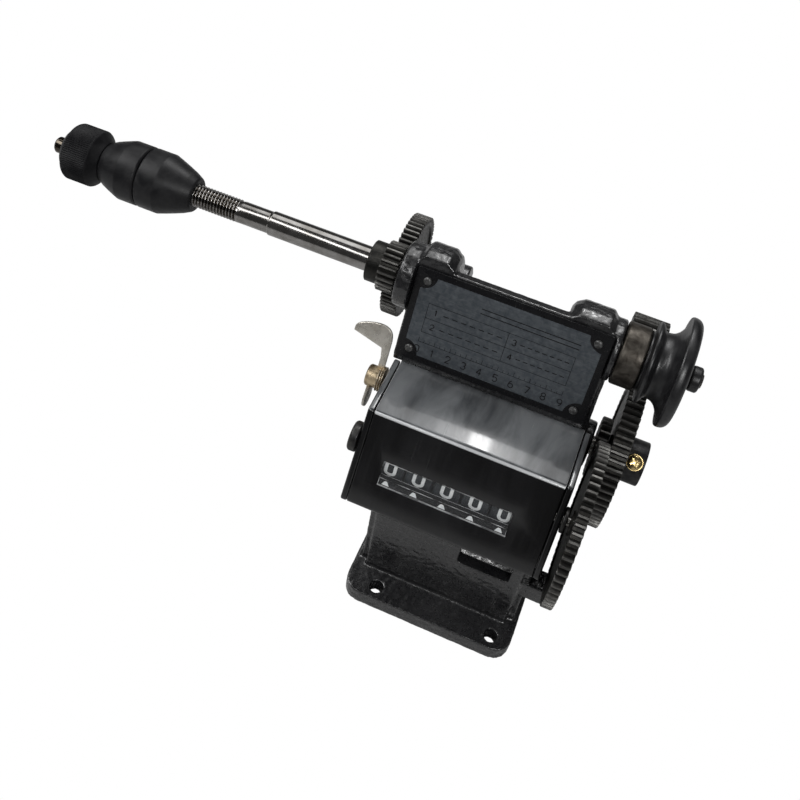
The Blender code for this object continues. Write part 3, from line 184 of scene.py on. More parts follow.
# The nameplate
PLATE_RIM = 3.4 * MM
PLATE_NOTCH = 7.4 * MM
PLATE_ROUND = 1.2 * MM
PLATE_ROUND_STEPS = 4
PLATE_THICKNESS = 1.1 * MM
PLATE_RELIEF = 0.12 * MM
CENTRE_DROP = 0.05 * MM
RULE_WIDTH = 0.5 * MM
RULE_RELIEF = 0.05 * MM
TABLE_ACROSS_SHARES = (-0.40, 0.36, 0.02)
TABLE_UP_SHARES = (0.16, 0.0, -0.16)
TITLE_RULE_SHARES = (0.30, 0.25)
TITLE_START_SHARE = -0.14
DASHES = 7
DASH_START = 1.9
SMALL_FIGURE = 3.6 * MM
LARGE_FIGURE = 4.4 * MM
FIGURE_WIDTH_SHARE = 0.6
SCALE_SHARE = -0.27
SCALE_TICKS = 27
TICKS_PER_FIGURE = 3
LONG_TICK = 2.2 * MM
SHORT_TICK = 1.2 * MM
RIVETS = 4
RIVET_SIDE_SHARE = 0.35

# The butterfly knob
KNOB_GAP = 1.2 * MM
KNOB_STEM_RADIUS = 2.5 * MM
KNOB_HUB_LENGTH = 6.4 * MM
KNOB_HUB_RADIUS = 5.7 * MM
KNOB_RING_RADIUS = 6.8 * MM
KNOB_RING_PITCH = 1.13 * MM
KNOB_RING_WIDTH = 0.62 * MM
KNOB_RINGS = 3
KNOB_GOLD_TO = 6 * MM
KNOB_GREY_FROM = 8.5 * MM
WING_THICKNESS = 1.7 * MM
WING_EDGE = 0.55 * MM
WING_ANGLE = math.radians(66)
WING_RIGHT_GAP = 1.8 * MM
WING_SPREAD = 20.6 * MM
WING_NECK_WIDTH = 3.6 * MM
WING_NECK_SHARE = 0.7
WING_FLAT_RIGHT = 16.6 * MM
WING_FLAT_LEFT = 20.8 * MM
WING_BULGE = 8.6 * MM
WING_BULGE_LEFT = 0.7
WING_BULGE_LEAN = 0.9
LOWER_WING_REACH = 17.5 * MM
LOWER_WING_WIDTH = 12 * MM

# A Mix node's sockets: its two colours and what comes of them, and its two numbers
FIRST_COLOUR, SECOND_COLOUR, MIXED_COLOUR = 6, 7, 2
FIRST_NUMBER, SECOND_NUMBER = 2, 3
# Between which values most of a noise texture lies, and the stretch that draws it out into turning rings
NOISE_LOW, NOISE_HIGH = 0.3, 0.7
RINGS = (1, 0.02, 0.02)
# How far upwards the case faces where a painted reflection lies on it, and where a painted highlight lies
# along its bend
PAINTED_REFLECTION_FROM, PAINTED_REFLECTION_FULL = 0.75, 0.98
BEND_FROM, BEND_FULL, BEND_FADES, BEND_ENDS = 0.60, 0.68, 0.87, 0.93


class Finish:
    """A node material. Most methods add nodes to it and give back an output socket."""

    def __init__(self, name, colour, roughness, metallic=0.0, **more):
        self.material = bpy.data.materials.new(name)
        self.material.use_nodes = True
        self.material.diffuse_color = (*colour, 1)
        self.tree = self.material.node_tree
        self.shader = self.tree.nodes["Principled BSDF"]
        self.shader.inputs["Base Color"].default_value = (*colour, 1)
        self.shader.inputs["Roughness"].default_value = roughness
        self.shader.inputs["Metallic"].default_value = metallic
        for socket, value in more.items():
            self.shader.inputs[socket.replace("_", " ")].default_value = value
        self.place = self.node("ShaderNodeTexCoord").outputs["Object"]
        self.normal = None

    def node(self, kind, inputs=(), **settings):
        return add_node(self.tree, kind, inputs, **settings)

    def drive(self, socket, output):
        self.tree.links.new(output, self.shader.inputs[socket])

    def noise(self, scale, stretch=(1, 1, 1), detail=4.0, distortion=0.0):
        """Noise with about scale features in a metre, and more of them along each stretched axis."""
        mapping = self.node("ShaderNodeMapping", [("Scale", stretch), ("Vector", self.place)])
        inputs = [("Scale", scale), ("Detail", detail), ("Distortion", distortion)]
        inputs.append(("Vector", mapping.outputs["Vector"]))
        return self.node("ShaderNodeTexNoise", inputs).outputs["Fac"]

    def cells(self, scale, smoothness):
        inputs = [("Scale", scale), ("Smoothness", smoothness), ("Vector", self.place)]
        return self.node("ShaderNodeTexVoronoi", inputs, feature="SMOOTH_F1").outputs["Distance"]

    def radius(self, axis):
        """The distance from an axis along X, given as (y, z)."""
        kind = "ShaderNodeVectorMath"
        moved = self.node(kind, [(0, self.place), (1, (0, *axis))], operation="SUBTRACT")
        flat = self.node(kind, [(0, moved.outputs[0]), (1, (0, 1, 1))], operation="MULTIPLY")
        return self.node(kind, [(0, flat.outputs[0])], operation="LENGTH").outputs["Value"]

    def upwards(self):
        """How far the surface faces upwards: 1 where it lies level, and 0 where it is upright."""
        normal = self.node("ShaderNodeNewGeometry").outputs["Normal"]
        return self.node("ShaderNodeSeparateXYZ", [(0, normal)]).outputs["Z"]

    def fit(self, value, low, high, to_low=0.0, to_high=1.0):
        """Maps values between low and high to those between to_low and to_high, and stops at the ends."""
        inputs = [("Value", value), ("From Min", low), ("From Max", high)]
        inputs += [("To Min", to_low), ("To Max", to_high)]
        return self.node("ShaderNodeMapRange", inputs).outputs["Result"]

    def times(self, first, second):
        return self.node("ShaderNodeMath", [(0, first), (1, second)], operation="MULTIPLY").outputs[0]

    def blend(self, factor, first, second):
        """A colour between first and second, each a colour or a socket."""
        inputs = [(0, factor)]
        for socket, value in ((FIRST_COLOUR, first), (SECOND_COLOUR, second)):
            inputs.append((socket, (*value, 1) if isinstance(value, tuple) else value))
        return self.node("ShaderNodeMix", inputs, data_type="RGBA").outputs[MIXED_COLOUR]

    def shade(self, value, low, high, first, second):
        """A colour that is first where value is low or less, and second where it is high or more."""
        return self.blend(self.fit(value, low, high), first, second)

    def colour(self, value, low, high, first, second):
        """Gives the surface the colour that shade would give back."""
        self.drive("Base Color", self.shade(value, low, high, first, second))

    def rough(self, value, least, most):
        """Lets the roughness follow a noise, from least where it is low to most where it is high."""
        self.drive("Roughness", self.fit(value, NOISE_LOW, NOISE_HIGH, least, most))

    def bump(self, height, distance, strength):
        """Lays a bump over those that are there already."""
        inputs = [("Strength", strength), ("Distance", distance), ("Height", height)]
        if self.normal is not None:
            inputs.append(("Normal", self.normal))
        self.normal = self.node("ShaderNodeBump", inputs).outputs["Normal"]
        self.drive("Normal", self.normal)


def add_node(tree, kind, inputs=(), **settings):
    """A new node with its settings. Each of the inputs is set to a value or linked to a socket."""
    made = tree.nodes.new(kind)
    for key, value in settings.items():
        setattr(made, key, value)
    for key, value in inputs:
        if isinstance(value, bpy.types.NodeSocket):
            tree.links.new(value, made.inputs[key])
        else:
            made.inputs[key].default_value = value
    return made


def axis_of(joint):
    """The (y, z) of a joint's axis, which runs along X."""
    for entry in frame["joints"]:
        if entry["name"] == joint:
            return (entry["pos_m"][1], entry["pos_m"][2])
    raise ValueError(joint)


# Maps (y, z, x) to (x, y, z), so that an outline (y, z) is drawn along X
ALONG_X = Matrix(((0, 0, 1, 0), (1, 0, 0, 0), (0, 1, 0, 0), (0, 0, 0, 1)))
# Maps (z, x, y) to (x, y, z), so that what is turned about X stands up from the plate
OUT_OF_PLATE = Matrix(((0, 1, 0, 0), (0, 0, 1, 0), (1, 0, 0, 0), (0, 0, 0, 1)))
SPINDLE = axis_of("spindle_spin")
COUNTERSHAFT = axis_of("countershaft_spin")
CRANK = axis_of("crank_spin")
COUNTER = axis_of("counter_spin")
DIGITS = axis_of("digit_1_spin")
KNOB = axis_of("reset_knob_spin")


# Finishes. A noise's scale is in features per metre, and colours are linear.


def hammered_paint():
    made = Finish("hammered_paint", (0.013, 0.013, 0.014), 0.3, Coat_Weight=0.7, Coat_Roughness=0.1)
    made.colour(made.noise(60, detail=5), 0.35, 0.7, (0.006, 0.006, 0.007), (0.016, 0.016, 0.017))
    made.rough(made.noise(500, detail=3), 0.2, 0.42)
    made.bump(made.cells(420, 0.6), 0.35 * MM, 0.55)
    made.bump(made.noise(1500, detail=3), 0.12 * MM, 0.55)
    return made.material


def bright_steel():
    """Turned steel, whose fine rings run round the axis."""
    made = Finish("bright_steel", (0.50, 0.49, 0.47), 0.16, 1.0)
    rings = made.noise(2600, stretch=RINGS, detail=6)
    made.colour(made.noise(90, detail=5), 0.38, 0.72, (0.50, 0.49, 0.47), (0.33, 0.31, 0.28))
    made.rough(rings, 0.16, 0.34)
    made.bump(rings, 0.01 * MM, 0.2)
    return made.material


def thread_steel():
    """The spindle: bright where it is plain or at the thread's crests, with painted shade in the roots."""
    made = Finish("spindle_steel", (0.42, 0.41, 0.40), 0.2, 1.0)
    rings = made.noise(2600, stretch=RINGS, detail=6)
    stains = made.noise(120, detail=5)
    crest = made.shade(stains, 0.35, 0.75, (0.40, 0.39, 0.38), (0.20, 0.19, 0.175))
    # Painted shade: darker in the thread's roots
    made.colour(made.radius(SPINDLE), THREAD_SHADE_TO, THREAD_BRIGHT_FROM, (0.07, 0.06, 0.048), crest)
    made.rough(rings, 0.11, 0.17)
    made.bump(rings, 0.003 * MM, 0.1)
    return made.material


def gear_steel(name, axis, root, tip):
    """Blackened steel, with a painted highlight that lightens it towards the tips of the teeth."""
    made = Finish(name, (0.07, 0.07, 0.07), 0.4, 0.85)
    patches = made.noise(150, detail=6)
    dark = made.shade(patches, 0.35, 0.7, (0.018, 0.018, 0.017), (0.045, 0.043, 0.039))
    light = made.shade(patches, 0.4, 0.7, (0.16, 0.157, 0.150), (0.085, 0.083, 0.078))
    # Painted highlight: lighter towards the tips of the teeth
    made.colour(made.radius(axis), root, tip, dark, light)
    made.rough(made.noise(700), 0.3, 0.5)
    made.bump(made.noise(900, stretch=(0.4, 1, 1), detail=5), 0.05 * MM, 0.4)
    return made.material


def black_steel():
    made = Finish("blackened_steel", (0.035, 0.035, 0.037), 0.38, 0.7)
    made.colour(made.noise(180, detail=6), 0.4, 0.72, (0.022, 0.022, 0.023), (0.07, 0.068, 0.065))
    made.rough(made.noise(800), 0.3, 0.48)
    made.bump(made.noise(1400, detail=4), 0.04 * MM, 0.4)
    return made.material


def satin_black(name, low, high, rings, gloss):
    """A dark moulded or painted surface with faint turning rings, dust and worn patches."""
    made = Finish(name, (0.018, 0.018, 0.019), low, Specular_IOR_Level=gloss)
    patches = made.noise(130, detail=6, distortion=0.6)
    base = made.shade(patches, 0.4, 0.75, (0.009, 0.009, 0.010), (0.021, 0.021, 0.022))
    dust = made.fit(made.noise(2200, detail=2), 0.66, 0.78)
    dusty = made.times(dust, made.fit(patches, 0.45, 0.7))
    made.drive("Base Color", made.blend(dusty, base, (0.07, 0.07, 0.07)))
    made.rough(patches, low, high)
    made.bump(made.noise(rings, stretch=(1, 0.03, 0.03), detail=5), 0.03 * MM, 0.35)
    made.bump(made.noise(1100, detail=3), 0.03 * MM, 0.25)
    return made.material


def worn_collar():
    made = Finish("worn_collar", (0.10, 0.085, 0.068), 0.45, 0.9)
    patches = made.noise(210, detail=7, distortion=0.8)
    made.colour(patches, 0.35, 0.68, (0.034, 0.029, 0.024), (0.105, 0.095, 0.082))
    made.rough(made.noise(420, detail=5), 0.36, 0.56)
    made.bump(made.noise(2400, stretch=RINGS, detail=5), 0.03 * MM, 0.4)
    return made.material


def case_enamel(name, painted_bend_highlight):
    """Smooth glossy black, wavy and scratched, with a painted reflection where it lies level and perhaps a
    painted highlight along its bend.
    """
    made = Finish(name, (0.012, 0.012, 0.013), 0.14, Coat_Weight=0.6, Coat_Roughness=0.06)
    smears = made.noise(70, stretch=(1, 0.35, 0.35), detail=6, distortion=0.5)
    streaks = made.noise(900, stretch=(1, 0.04, 0.04), detail=5)
    upwards = made.upwards()
    base = made.shade(smears, 0.4, 0.75, (0.004, 0.004, 0.0045), (0.009, 0.009, 0.010))
    painted_reflection = made.shade(smears, 0.35, 0.65, (0.050, 0.053, 0.057), (0.150, 0.157, 0.164))
    # Painted reflection: paler where the case lies level
    enamel = made.shade(upwards, PAINTED_REFLECTION_FROM, PAINTED_REFLECTION_FULL, base, painted_reflection)
    # Painted highlight: a pale line along the bend between the level top and the sloping face
    if painted_bend_highlight:
        bend = made.times(made.fit(upwards, BEND_FROM, BEND_FULL), made.fit(upwards, BEND_ENDS, BEND_FADES))
        enamel = made.blend(bend, enamel, (0.50, 0.51, 0.52))
    made.drive("Base Color", enamel)
    smeared = made.fit(smears, NOISE_LOW, NOISE_HIGH, 0.7, 1.3)
    made.drive("Roughness", made.times(smeared, made.fit(streaks, NOISE_LOW, 0.75, 0.13, 0.24)))
    made.bump(streaks, 0.02 * MM, 0.2)
    made.bump(made.noise(160, detail=2), 0.08 * MM, 0.15)
    return made.material


def plate_centre():
    """Brushed metal, mottled with age."""
    made = Finish("plate_centre", (0.11, 0.125, 0.14), 0.42, 0.7)
    grain = made.noise(1800, stretch=(0.03, 1, 1), detail=6)
    mottle = made.noise(420, detail=7, distortion=0.6)
    base = made.shade(mottle, 0.35, 0.7, (0.085, 0.098, 0.112), (0.155, 0.170, 0.185))
    brushed = made.fit(grain, 0.35, 0.7, 0.0, 0.45)
    made.drive("Base Color", made.blend(brushed, base, (0.065, 0.074, 0.086)))
    made.rough(mottle, 0.3, 0.48)
    made.bump(grain, 0.02 * MM, 0.5)
    return made.material


def plate_black():
    made = Finish("plate_black", (0.012, 0.012, 0.013), 0.26, Specular_IOR_Level=0.25)
    made.colour(made.noise(1500, detail=3), 0.70, 0.76, (0.006, 0.006, 0.007), (0.10, 0.10, 0.10))
    made.rough(made.noise(260, detail=5), 0.2, 0.36)
    made.bump(made.noise(700, detail=4), 0.03 * MM, 0.35)
    return made.material


def rivet_grey():
    made = Finish("rivet_grey", (0.10, 0.10, 0.10), 0.45, 0.6)
    made.colour(made.noise(900), 0.4, 0.65, (0.06, 0.06, 0.06), (0.15, 0.15, 0.15))
    made.bump(made.noise(1600, detail=4), 0.05 * MM, 0.5)
    return made.material


def digit_black():
    made = Finish("digit_black", (0.016, 0.018, 0.021), 0.42)
    made.colour(made.noise(300, detail=5), 0.4, 0.7, (0.012, 0.014, 0.017), (0.035, 0.04, 0.046))
    made.bump(made.noise(1500, detail=3), 0.02 * MM, 0.3)
    return made.material


def digit_white():
    made = Finish("digit_white", (0.80, 0.82, 0.82), 0.5)
    made.colour(made.noise(700, detail=4), 0.35, 0.7, (0.94, 0.96, 0.96), (0.80, 0.83, 0.84))
    return made.material


def clear_cover():
    made = Finish("clear_cover", (0.3, 0.31, 0.32), 0.06, Alpha=0.05, IOR=1.49)
    made.drive("Roughness", made.fit(made.noise(500, detail=4), 0.4, 0.7, 0.04, 0.14))
    made.material.surface_render_method = "BLENDED"
    return made.material


def painted_edge_glints():
    """Painted glints along the clear cover's edges, pale in parts."""
    made = Finish("painted_edge_glints", (0.3, 0.3, 0.31), 0.2)
    made.colour(made.noise(120, detail=4), 0.42, 0.6, (0.04, 0.04, 0.04), (0.62, 0.63, 0.64))
    return made.material


def nickel():
    """Worn nickel, with a golden hub."""
    made = Finish("nickel", (0.66, 0.62, 0.55), 0.24, 0.6)
    stains = made.noise(160, detail=6, distortion=0.5)
    wing = made.shade(stains, 0.35, 0.75, (0.66, 0.63, 0.57), (0.50, 0.47, 0.41))
    hub = made.shade(stains, 0.4, 0.6, (0.62, 0.50, 0.33), (0.16, 0.12, 0.07))
    made.colour(made.radius(KNOB), KNOB_GOLD_TO, KNOB_GREY_FROM, hub, wing)
    made.rough(made.noise(380, detail=5), 0.2, 0.42)
    made.bump(made.noise(1500, detail=3), 0.02 * MM, 0.3)
    return made.material


def brass():
    made = Finish("bright_brass", (0.66, 0.50, 0.22), 0.24, 1.0)
    stains = made.noise(600, detail=5)
    made.colour(stains, 0.4, 0.75, (0.72, 0.56, 0.27), (0.42, 0.30, 0.12))
    made.rough(stains, 0.18, 0.36)
    made.bump(made.noise(2600, detail=4), 0.02 * MM, 0.4)
    return made.material


# Pieces


def linked(name, data):
    """A new object in the scene."""
    made = bpy.data.objects.new(name, data)
    bpy.context.scene.collection.objects.link(made)
    return made


def bare_object(name, part):
    """A closed mesh of (points, faces) with its faces outwards, not yet a piece."""
    points, faces = part
    mesh = bpy.data.meshes.new(name)
    mesh.from_pydata([tuple(p) for p in points], [], faces)
    work = bmesh.new()
    work.from_mesh(mesh)
    bmesh.ops.recalc_face_normals(work, faces=work.faces)
    work.to_mesh(mesh)
    work.free()
    return linked(name, mesh)


def dress(made, finish, body, nodes, sharp=SMOOTH_LIMIT):
    """Makes an object a piece that rides on a body and stands for the named CAD nodes."""
    mesh = made.data
    mesh.shade_smooth()
    mesh.set_sharp_from_angle(angle=sharp)
    mesh.materials.clear()
    mesh.materials.append(finish)
    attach(made, body)
    if nodes:
        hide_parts(*nodes)


def add_piece(name, part, finish, body, nodes=(), sharp=SMOOTH_LIMIT):
    dress(bare_object(name, part), finish, body, nodes, sharp)


def add_look(node, part, finish, body, sharp=SMOOTH_LIMIT):
    """A piece that stands for one CAD node."""
    add_piece(f"{node}_look", part, finish, body, [node], sharp)


def apply_modifiers(made):
    bpy.context.view_layer.update()
    made.data = bpy.data.meshes.new_from_object(made.evaluated_get(bpy.context.evaluated_depsgraph_get()))
    made.modifiers.clear()


def carve(made, tools, bevel):
    """Cuts the tools out of an object, bevels its edges, and removes the tools."""
    for tool in tools:
        change = made.modifiers.new(tool.name, "BOOLEAN")
        change.operation = "DIFFERENCE"
        change.solver = "EXACT"
        change.object = tool
    change = made.modifiers.new("bevel", "BEVEL")
    change.width = bevel
    change.segments = BEVEL_SEGMENTS
    change.limit_method = "ANGLE"
    change.angle_limit = BEVEL_LIMIT
    apply_modifiers(made)
    for tool in tools:
        bpy.data.objects.remove(tool, do_unlink=True)


# Geometry helpers. A part is its points and faces, and an axis along X is given as (y, z).


def vertices(node):
    """The places of a CAD node's vertices."""
    return [v.co.copy() for v in frame["nodes"][node].data.vertices]


def middle_x(node):
    low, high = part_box(node)
    return (low.x + high.x) / 2


def distance(point, axis):
    return math.hypot(point.y - axis[0], point.z - axis[1])


def round_axis(x, axis, angle, radius):
    """The point at an angle and a radius round an axis."""
    return (x, axis[0] + radius * math.cos(angle), axis[1] + radius * math.sin(angle))


def left_of(way):
    """A way in a plane, turned a quarter anticlockwise."""
    return Vector((-way.y, way.x))


def rectangle(left, bottom, right, top):
    return [(left, bottom), (right, bottom), (right, top), (left, top)]


def tube(low, high, bore, radius):
    """The outline (x, radius) of a plain ring."""
    return [(low, bore), (low, radius), (high, radius), (high, bore)]


def dome(foot, top, radius):
    """The outline (x, radius) of a dome, without its tip."""
    angles = [math.pi / 2 * k / DOME_STEPS for k in range(DOME_STEPS)]
    return [(foot + (top - foot) * math.sin(angle), radius * math.cos(angle)) for angle in angles]


def profile(node, axis, bored=True):
    """The outline (x, radius) of a turned CAD node from left to right, and the radius of its bore."""
    found = {
        (round(p.x, PLACE_DECIMALS), round(distance(p, axis), PLACE_DECIMALS)) for p in vertices(node)
    }
    bore = min(r for x, r in found) if bored else 0
    places = sorted({x for x, r in found})
    rows = []
    for x in places:
        radii = sorted(r for at, r in found if at == x and r > bore)
        if x == places[-1] or (rows and radii and abs(rows[-1][1] - radii[-1]) < abs(rows[-1][1] - radii[0])):
            radii.reverse()
        rows.extend((x, r) for r in radii)
    return rows, bore


def neighbours(outline):
    """Each point of a closed outline as a vector, between the one before it and the one after it."""
    count = len(outline)
    for k in range(count):
        yield tuple(Vector(outline[i % count]) for i in (k - 1, k, k + 1))


def corner_arc(before, here, after, radius, share, steps):
    """An arc that takes off a corner, as wide as radius or as the given share of the shorter side."""
    back, ahead = before - here, after - here
    reach = min(radius, back.length * share, ahead.length * share)
    start, end = here + back.normalized() * reach, here + ahead.normalized() * reach
    made = []
    for step in range(steps + 1):
        t = step / steps
        made.append(tuple(start.lerp(here, t).lerp(here.lerp(end, t), t)))
    return made


def filleted(rows, radius, closed=False):
    """An outline (x, radius) with an arc at each corner, but for the ends of an open one."""
    made = []
    for k, (before, here, after) in enumerate(neighbours(rows)):
        if not closed and k in (0, len(rows) - 1):
            made.append(tuple(here))
        elif (before - here).length and (after - here).length:
            made += corner_arc(before, here, after, radius, FILLET_SHARE, FILLET_STEPS)
    return made


def rounded_path(corners, radius, steps=6):
    """A closed outline (y, z) with an arc at each corner."""
    made = []
    for before, here, after in neighbours(corners):
        made += corner_arc(before, here, after, radius, FOLD_SHARE, steps)
    return made


def shrunk(corners, inset):
    """An outline (y, z) moved inwards by a distance."""
    made = []
    for before, here, after in neighbours(corners):
        first, second = (here - before).normalized(), (after - here).normalized()
        bisector = left_of(first + second).normalized()
        made.append(tuple(here + bisector * inset / bisector.dot(left_of(first))))
    return made


def ring_faces(rings, sides, closed):
    """Faces between rings of points, and from the last ring to the first, or else over both ends."""
    faces = []
    for i in range(rings if closed else rings - 1):
        a, b = i * sides, (i + 1) % rings * sides
        for k in range(sides):
            n = (k + 1) % sides
            faces.append((a + k, a + n, b + n, b + k))
    if not closed:
        faces.append(tuple(range(sides)))
        faces.append(tuple(range((rings - 1) * sides, rings * sides)))
    return faces


def lathe(rows, axis, sides=FINE_SIDES, closed=True):
    """A part turned about an axis. A row's radius may depend on the angle."""
    points = []
    for x, radius in rows:
        for k in range(sides):
            angle = 2 * math.pi * k / sides
            points.append(round_axis(x, axis, angle, radius(angle) if callable(radius) else radius))
    return points, ring_faces(len(rows), sides, closed)


def turned_piece(node, axis, finish, body, bored=True, fillet=EDGE_ROUND, sides=FINE_SIDES):
    """A smooth turned copy of a CAD node, with rounded edges."""
    rows, bore = profile(node, axis, bored)
    if bored:
        rows += [(rows[-1][0], bore), (rows[0][0], bore)]
    part = lathe(filleted(rows, fillet, bored), axis, sides, bored)
    add_look(node, part, finish, body)


def slab(outline, low, high, edge, place):
    """A plate: an outline (u, v), drawn from low to high, with rounded edges, moved by a matrix."""
    count = len(outline)
    inward = []
    for before, here, after in neighbours(outline):
        first, second = (here - before).normalized(), (after - here).normalized()
        both = first + second
        normal = left_of(first if both.length < NEAR_ZERO else both.normalized())
        inward.append(normal / max(SHARPEST_MITRE, normal.dot(left_of(first))))
    area = sum(
        outline[k - 1][0] * outline[k][1] - outline[k][0] * outline[k - 1][1] for k in range(count)
    )
    side = 1 if area > 0 else -1
    layers = []
    for step in range(FILLET_STEPS + 1):
        angle = math.pi / 2 * step / FILLET_STEPS
        layers.append((edge * (1 - math.sin(angle)), low + edge * (1 - math.cos(angle))))
    layers += [(inset, low + high - height) for inset, height in reversed(layers)]
    points = []
    for inset, height in layers:
        for k in range(count):
            u, v = Vector(outline[k]) + inward[k] * inset * side
            points.append(place @ Vector((u, v, height)))
    return points, ring_faces(len(layers), count, False)


def moved(part, place):
    """A part moved by a matrix."""
    points, faces = part
    return [place @ Vector(p) for p in points], faces


def stud(rows, place):
    """A solid part turned about a matrix's X axis."""
    return moved(lathe(rows, (0, 0), SMALL_SIDES, False), place)


def joined(parts):
    """Several parts in one."""
    points, faces = [], []
    for more_points, more_faces in parts:
        first = len(points)
        points.extend(more_points)
        faces.extend(tuple(first + i for i in face) for face in more_faces)
    return points, faces


def hull(node):
    """The corners (y, z) of a node's convex outline seen along X, anticlockwise."""
    seen = sorted({(round(p.y, PLACE_DECIMALS), round(p.z, PLACE_DECIMALS)) for p in vertices(node)})

    def half(points):
        chain = []
        for p in points:
            while len(chain) > 1 and cross(chain[-2], chain[-1], p) <= NEAR_ZERO:
                chain.pop()
            chain.append(p)
        return chain[:-1]

    return half(seen) + half(seen[::-1])


def cross(o, a, b):
    """More than 0 where the way from o over a to b turns anticlockwise."""
    return (a[0] - o[0]) * (b[1] - o[1]) - (a[1] - o[1]) * (b[0] - o[0])


def leaning_frame(x, origin, along, out):
    """Maps (x, distance along, distance out), both seen along X as (y, z), to the row frame."""
    return Matrix(
        (
            (1, 0, 0, x),
            (0, along.x, out.x, origin.x),
            (0, along.y, out.y, origin.y),
            (0, 0, 0, 1),
        )
    )


# The casting, the spindle and its nut


def casting(finish):
    """The CAD solid remeshed, smoothed and hammered, so that its edges are those of thick paint."""
    made = linked("casting", frame["nodes"]["frame_casting"].data.copy())
    remesh = made.modifiers.new("remesh", "REMESH")
    remesh.mode = "VOXEL"
    remesh.voxel_size = CAST_VOXEL
    smooth = made.modifiers.new("smooth", "SMOOTH")
    smooth.factor = CAST_SMOOTH_FACTOR
    smooth.iterations = CAST_SMOOTHING
    apply_modifiers(made)
    mesh = made.data
    places = []
    for vertex in mesh.vertices:
        rough = noise.fractal(vertex.co / HAMMER_SIZE, *HAMMER_NOISE)
        places.append(vertex.co - vertex.normal * HAMMER_DEPTH * max(0.0, HAMMER_LEVEL + rough))
    for vertex, place in zip(mesh.vertices, places):
        vertex.co = place
    dress(made, finish, "frame", ["frame_casting"], math.pi)


def thread_radius(x, angle):
    """A truncated V whose ridge moves one pitch to the right in one turn."""
    phase = (x / THREAD_PITCH - angle / (2 * math.pi)) % 1
    flank = (abs(2 * phase - 1) - CREST_SHARE) / (1 - CREST_SHARE - THREAD_ROOT_SHARE)
    return THREAD_CREST - THREAD_DEPTH * min(1.0, max(0.0, flank))


def spindle(finish):
    """The spindle with a real thread between its stub and its plain part."""
    rows, _ = profile("spindle", SPINDLE, False)
    thread_start = rows[0][0] + STUB_LENGTH + THREAD_PITCH / 2
    stub = [row for row in rows if row[0] < thread_start - THREAD_PITCH / 4]
    plain = [row for row in rows if row[0] > THREAD_END + THREAD_PITCH / 2]
    thread = []
    for k in range(round((THREAD_END - thread_start) / THREAD_PITCH * THREAD_STEPS) + 1):
        x = thread_start + k * THREAD_PITCH / THREAD_STEPS
        thread.append((x, lambda angle, x=x: thread_radius(x, angle)))
    rows = filleted(stub, EDGE_ROUND) + thread + filleted(plain, EDGE_ROUND)
    part = lathe(rows, SPINDLE, SMALL_SIDES, False)
    add_look("spindle", part, finish, "spindle", THREAD_SMOOTH_LIMIT)


def clamp_nut(finish):
    """The nut: a band of fine ridges between two chamfers, and a flat face on each side."""
    rows, bore = profile("clamp_nut", SPINDLE)
    widest = max(r for x, r in rows)
    band = [x for x, r in rows if r > widest - TOUCH]
    start, end = min(band), max(band)
    left, right = rows[0][0], rows[-1][0]
    face = min(r for x, r in rows if x == left)
    root = widest - NUT_RIDGE_DEPTH

    def ridged(angle):
        phase = (angle * NUT_RIDGES / (2 * math.pi)) % 1
        return root + NUT_RIDGE_DEPTH * (1 - abs(2 * phase - 1))

    outline = [
        (left, bore),
        (left, face - NUT_CHAMFER),
        (left + NUT_CHAMFER / 2, face),
        (start - 2 * NUT_CHAMFER, root - 2 * NUT_CHAMFER),
        (start - NUT_CHAMFER, root - NUT_CHAMFER / 2),
        (start - NUT_LEAD, root),
        (start + NUT_LEAD, ridged),
        (end - NUT_LEAD, ridged),
        (end + NUT_LEAD, root),
        (end + NUT_CHAMFER, root - NUT_CHAMFER / 2),
        (end + 2 * NUT_LEAD + NUT_CHAMFER, root - 2 * NUT_CHAMFER),
        (right - NUT_CHAMFER / 2, face + NUT_CHAMFER / 2),
        (right, face),
        (right, bore),
    ]
    part = lathe(outline, SPINDLE, NUT_RIDGES * SIDES_PER_RIDGE)
    add_look("clamp_nut", part, finish, "clamp_nut")


# Gears


def first_tooth(node, axis):
    """The angle of the middle of one tooth, the number of teeth and the tip radius of a CAD gear."""
    tip = max(distance(p, axis) for p in vertices(node))
    at_tip = [p for p in vertices(node) if distance(p, axis) > tip - TOUCH / 2]
    angles = sorted({round(math.atan2(p.z - axis[1], p.y - axis[0]), ANGLE_DECIMALS) for p in at_tip})
    corners = [a for k, a in enumerate(angles) if k == 0 or a - angles[k - 1] > SAME_ANGLE]
    teeth = len(corners) // 2
    first = 0 if corners[1] - corners[0] < math.pi / teeth else 1
    return (corners[first] + corners[first + 1]) / 2, teeth, tip


def tooth_outline(middle, teeth, tip):
    """Every corner (angle, radius) of a gear with curved flanks, and its root radius."""
    module = tip / (teeth / 2 + ADDENDUM_SHARE)
    pitch = tip - ADDENDUM_SHARE * module
    root = pitch - DEDENDUM_SHARE * module
    lower = (ROOT_SHARE + PITCH_SHARE) / 4 + FLANK_BULGE_SHARE
    upper = (PITCH_SHARE + TIP_SHARE) / 4 + FLANK_BULGE_SHARE
    half = [(TIP_SHARE / 2, tip), (upper, (pitch + tip) / 2), (PITCH_SHARE / 2, pitch)]
    half += [(lower, (root + pitch) / 2), (ROOT_SHARE / 2, root)]
    shape = [(-0.5, root)] + [(-share, r) for share, r in reversed(half)] + half
    step = 2 * math.pi / teeth
    return [(middle + step * (k + share), r) for k in range(teeth) for share, r in shape], root


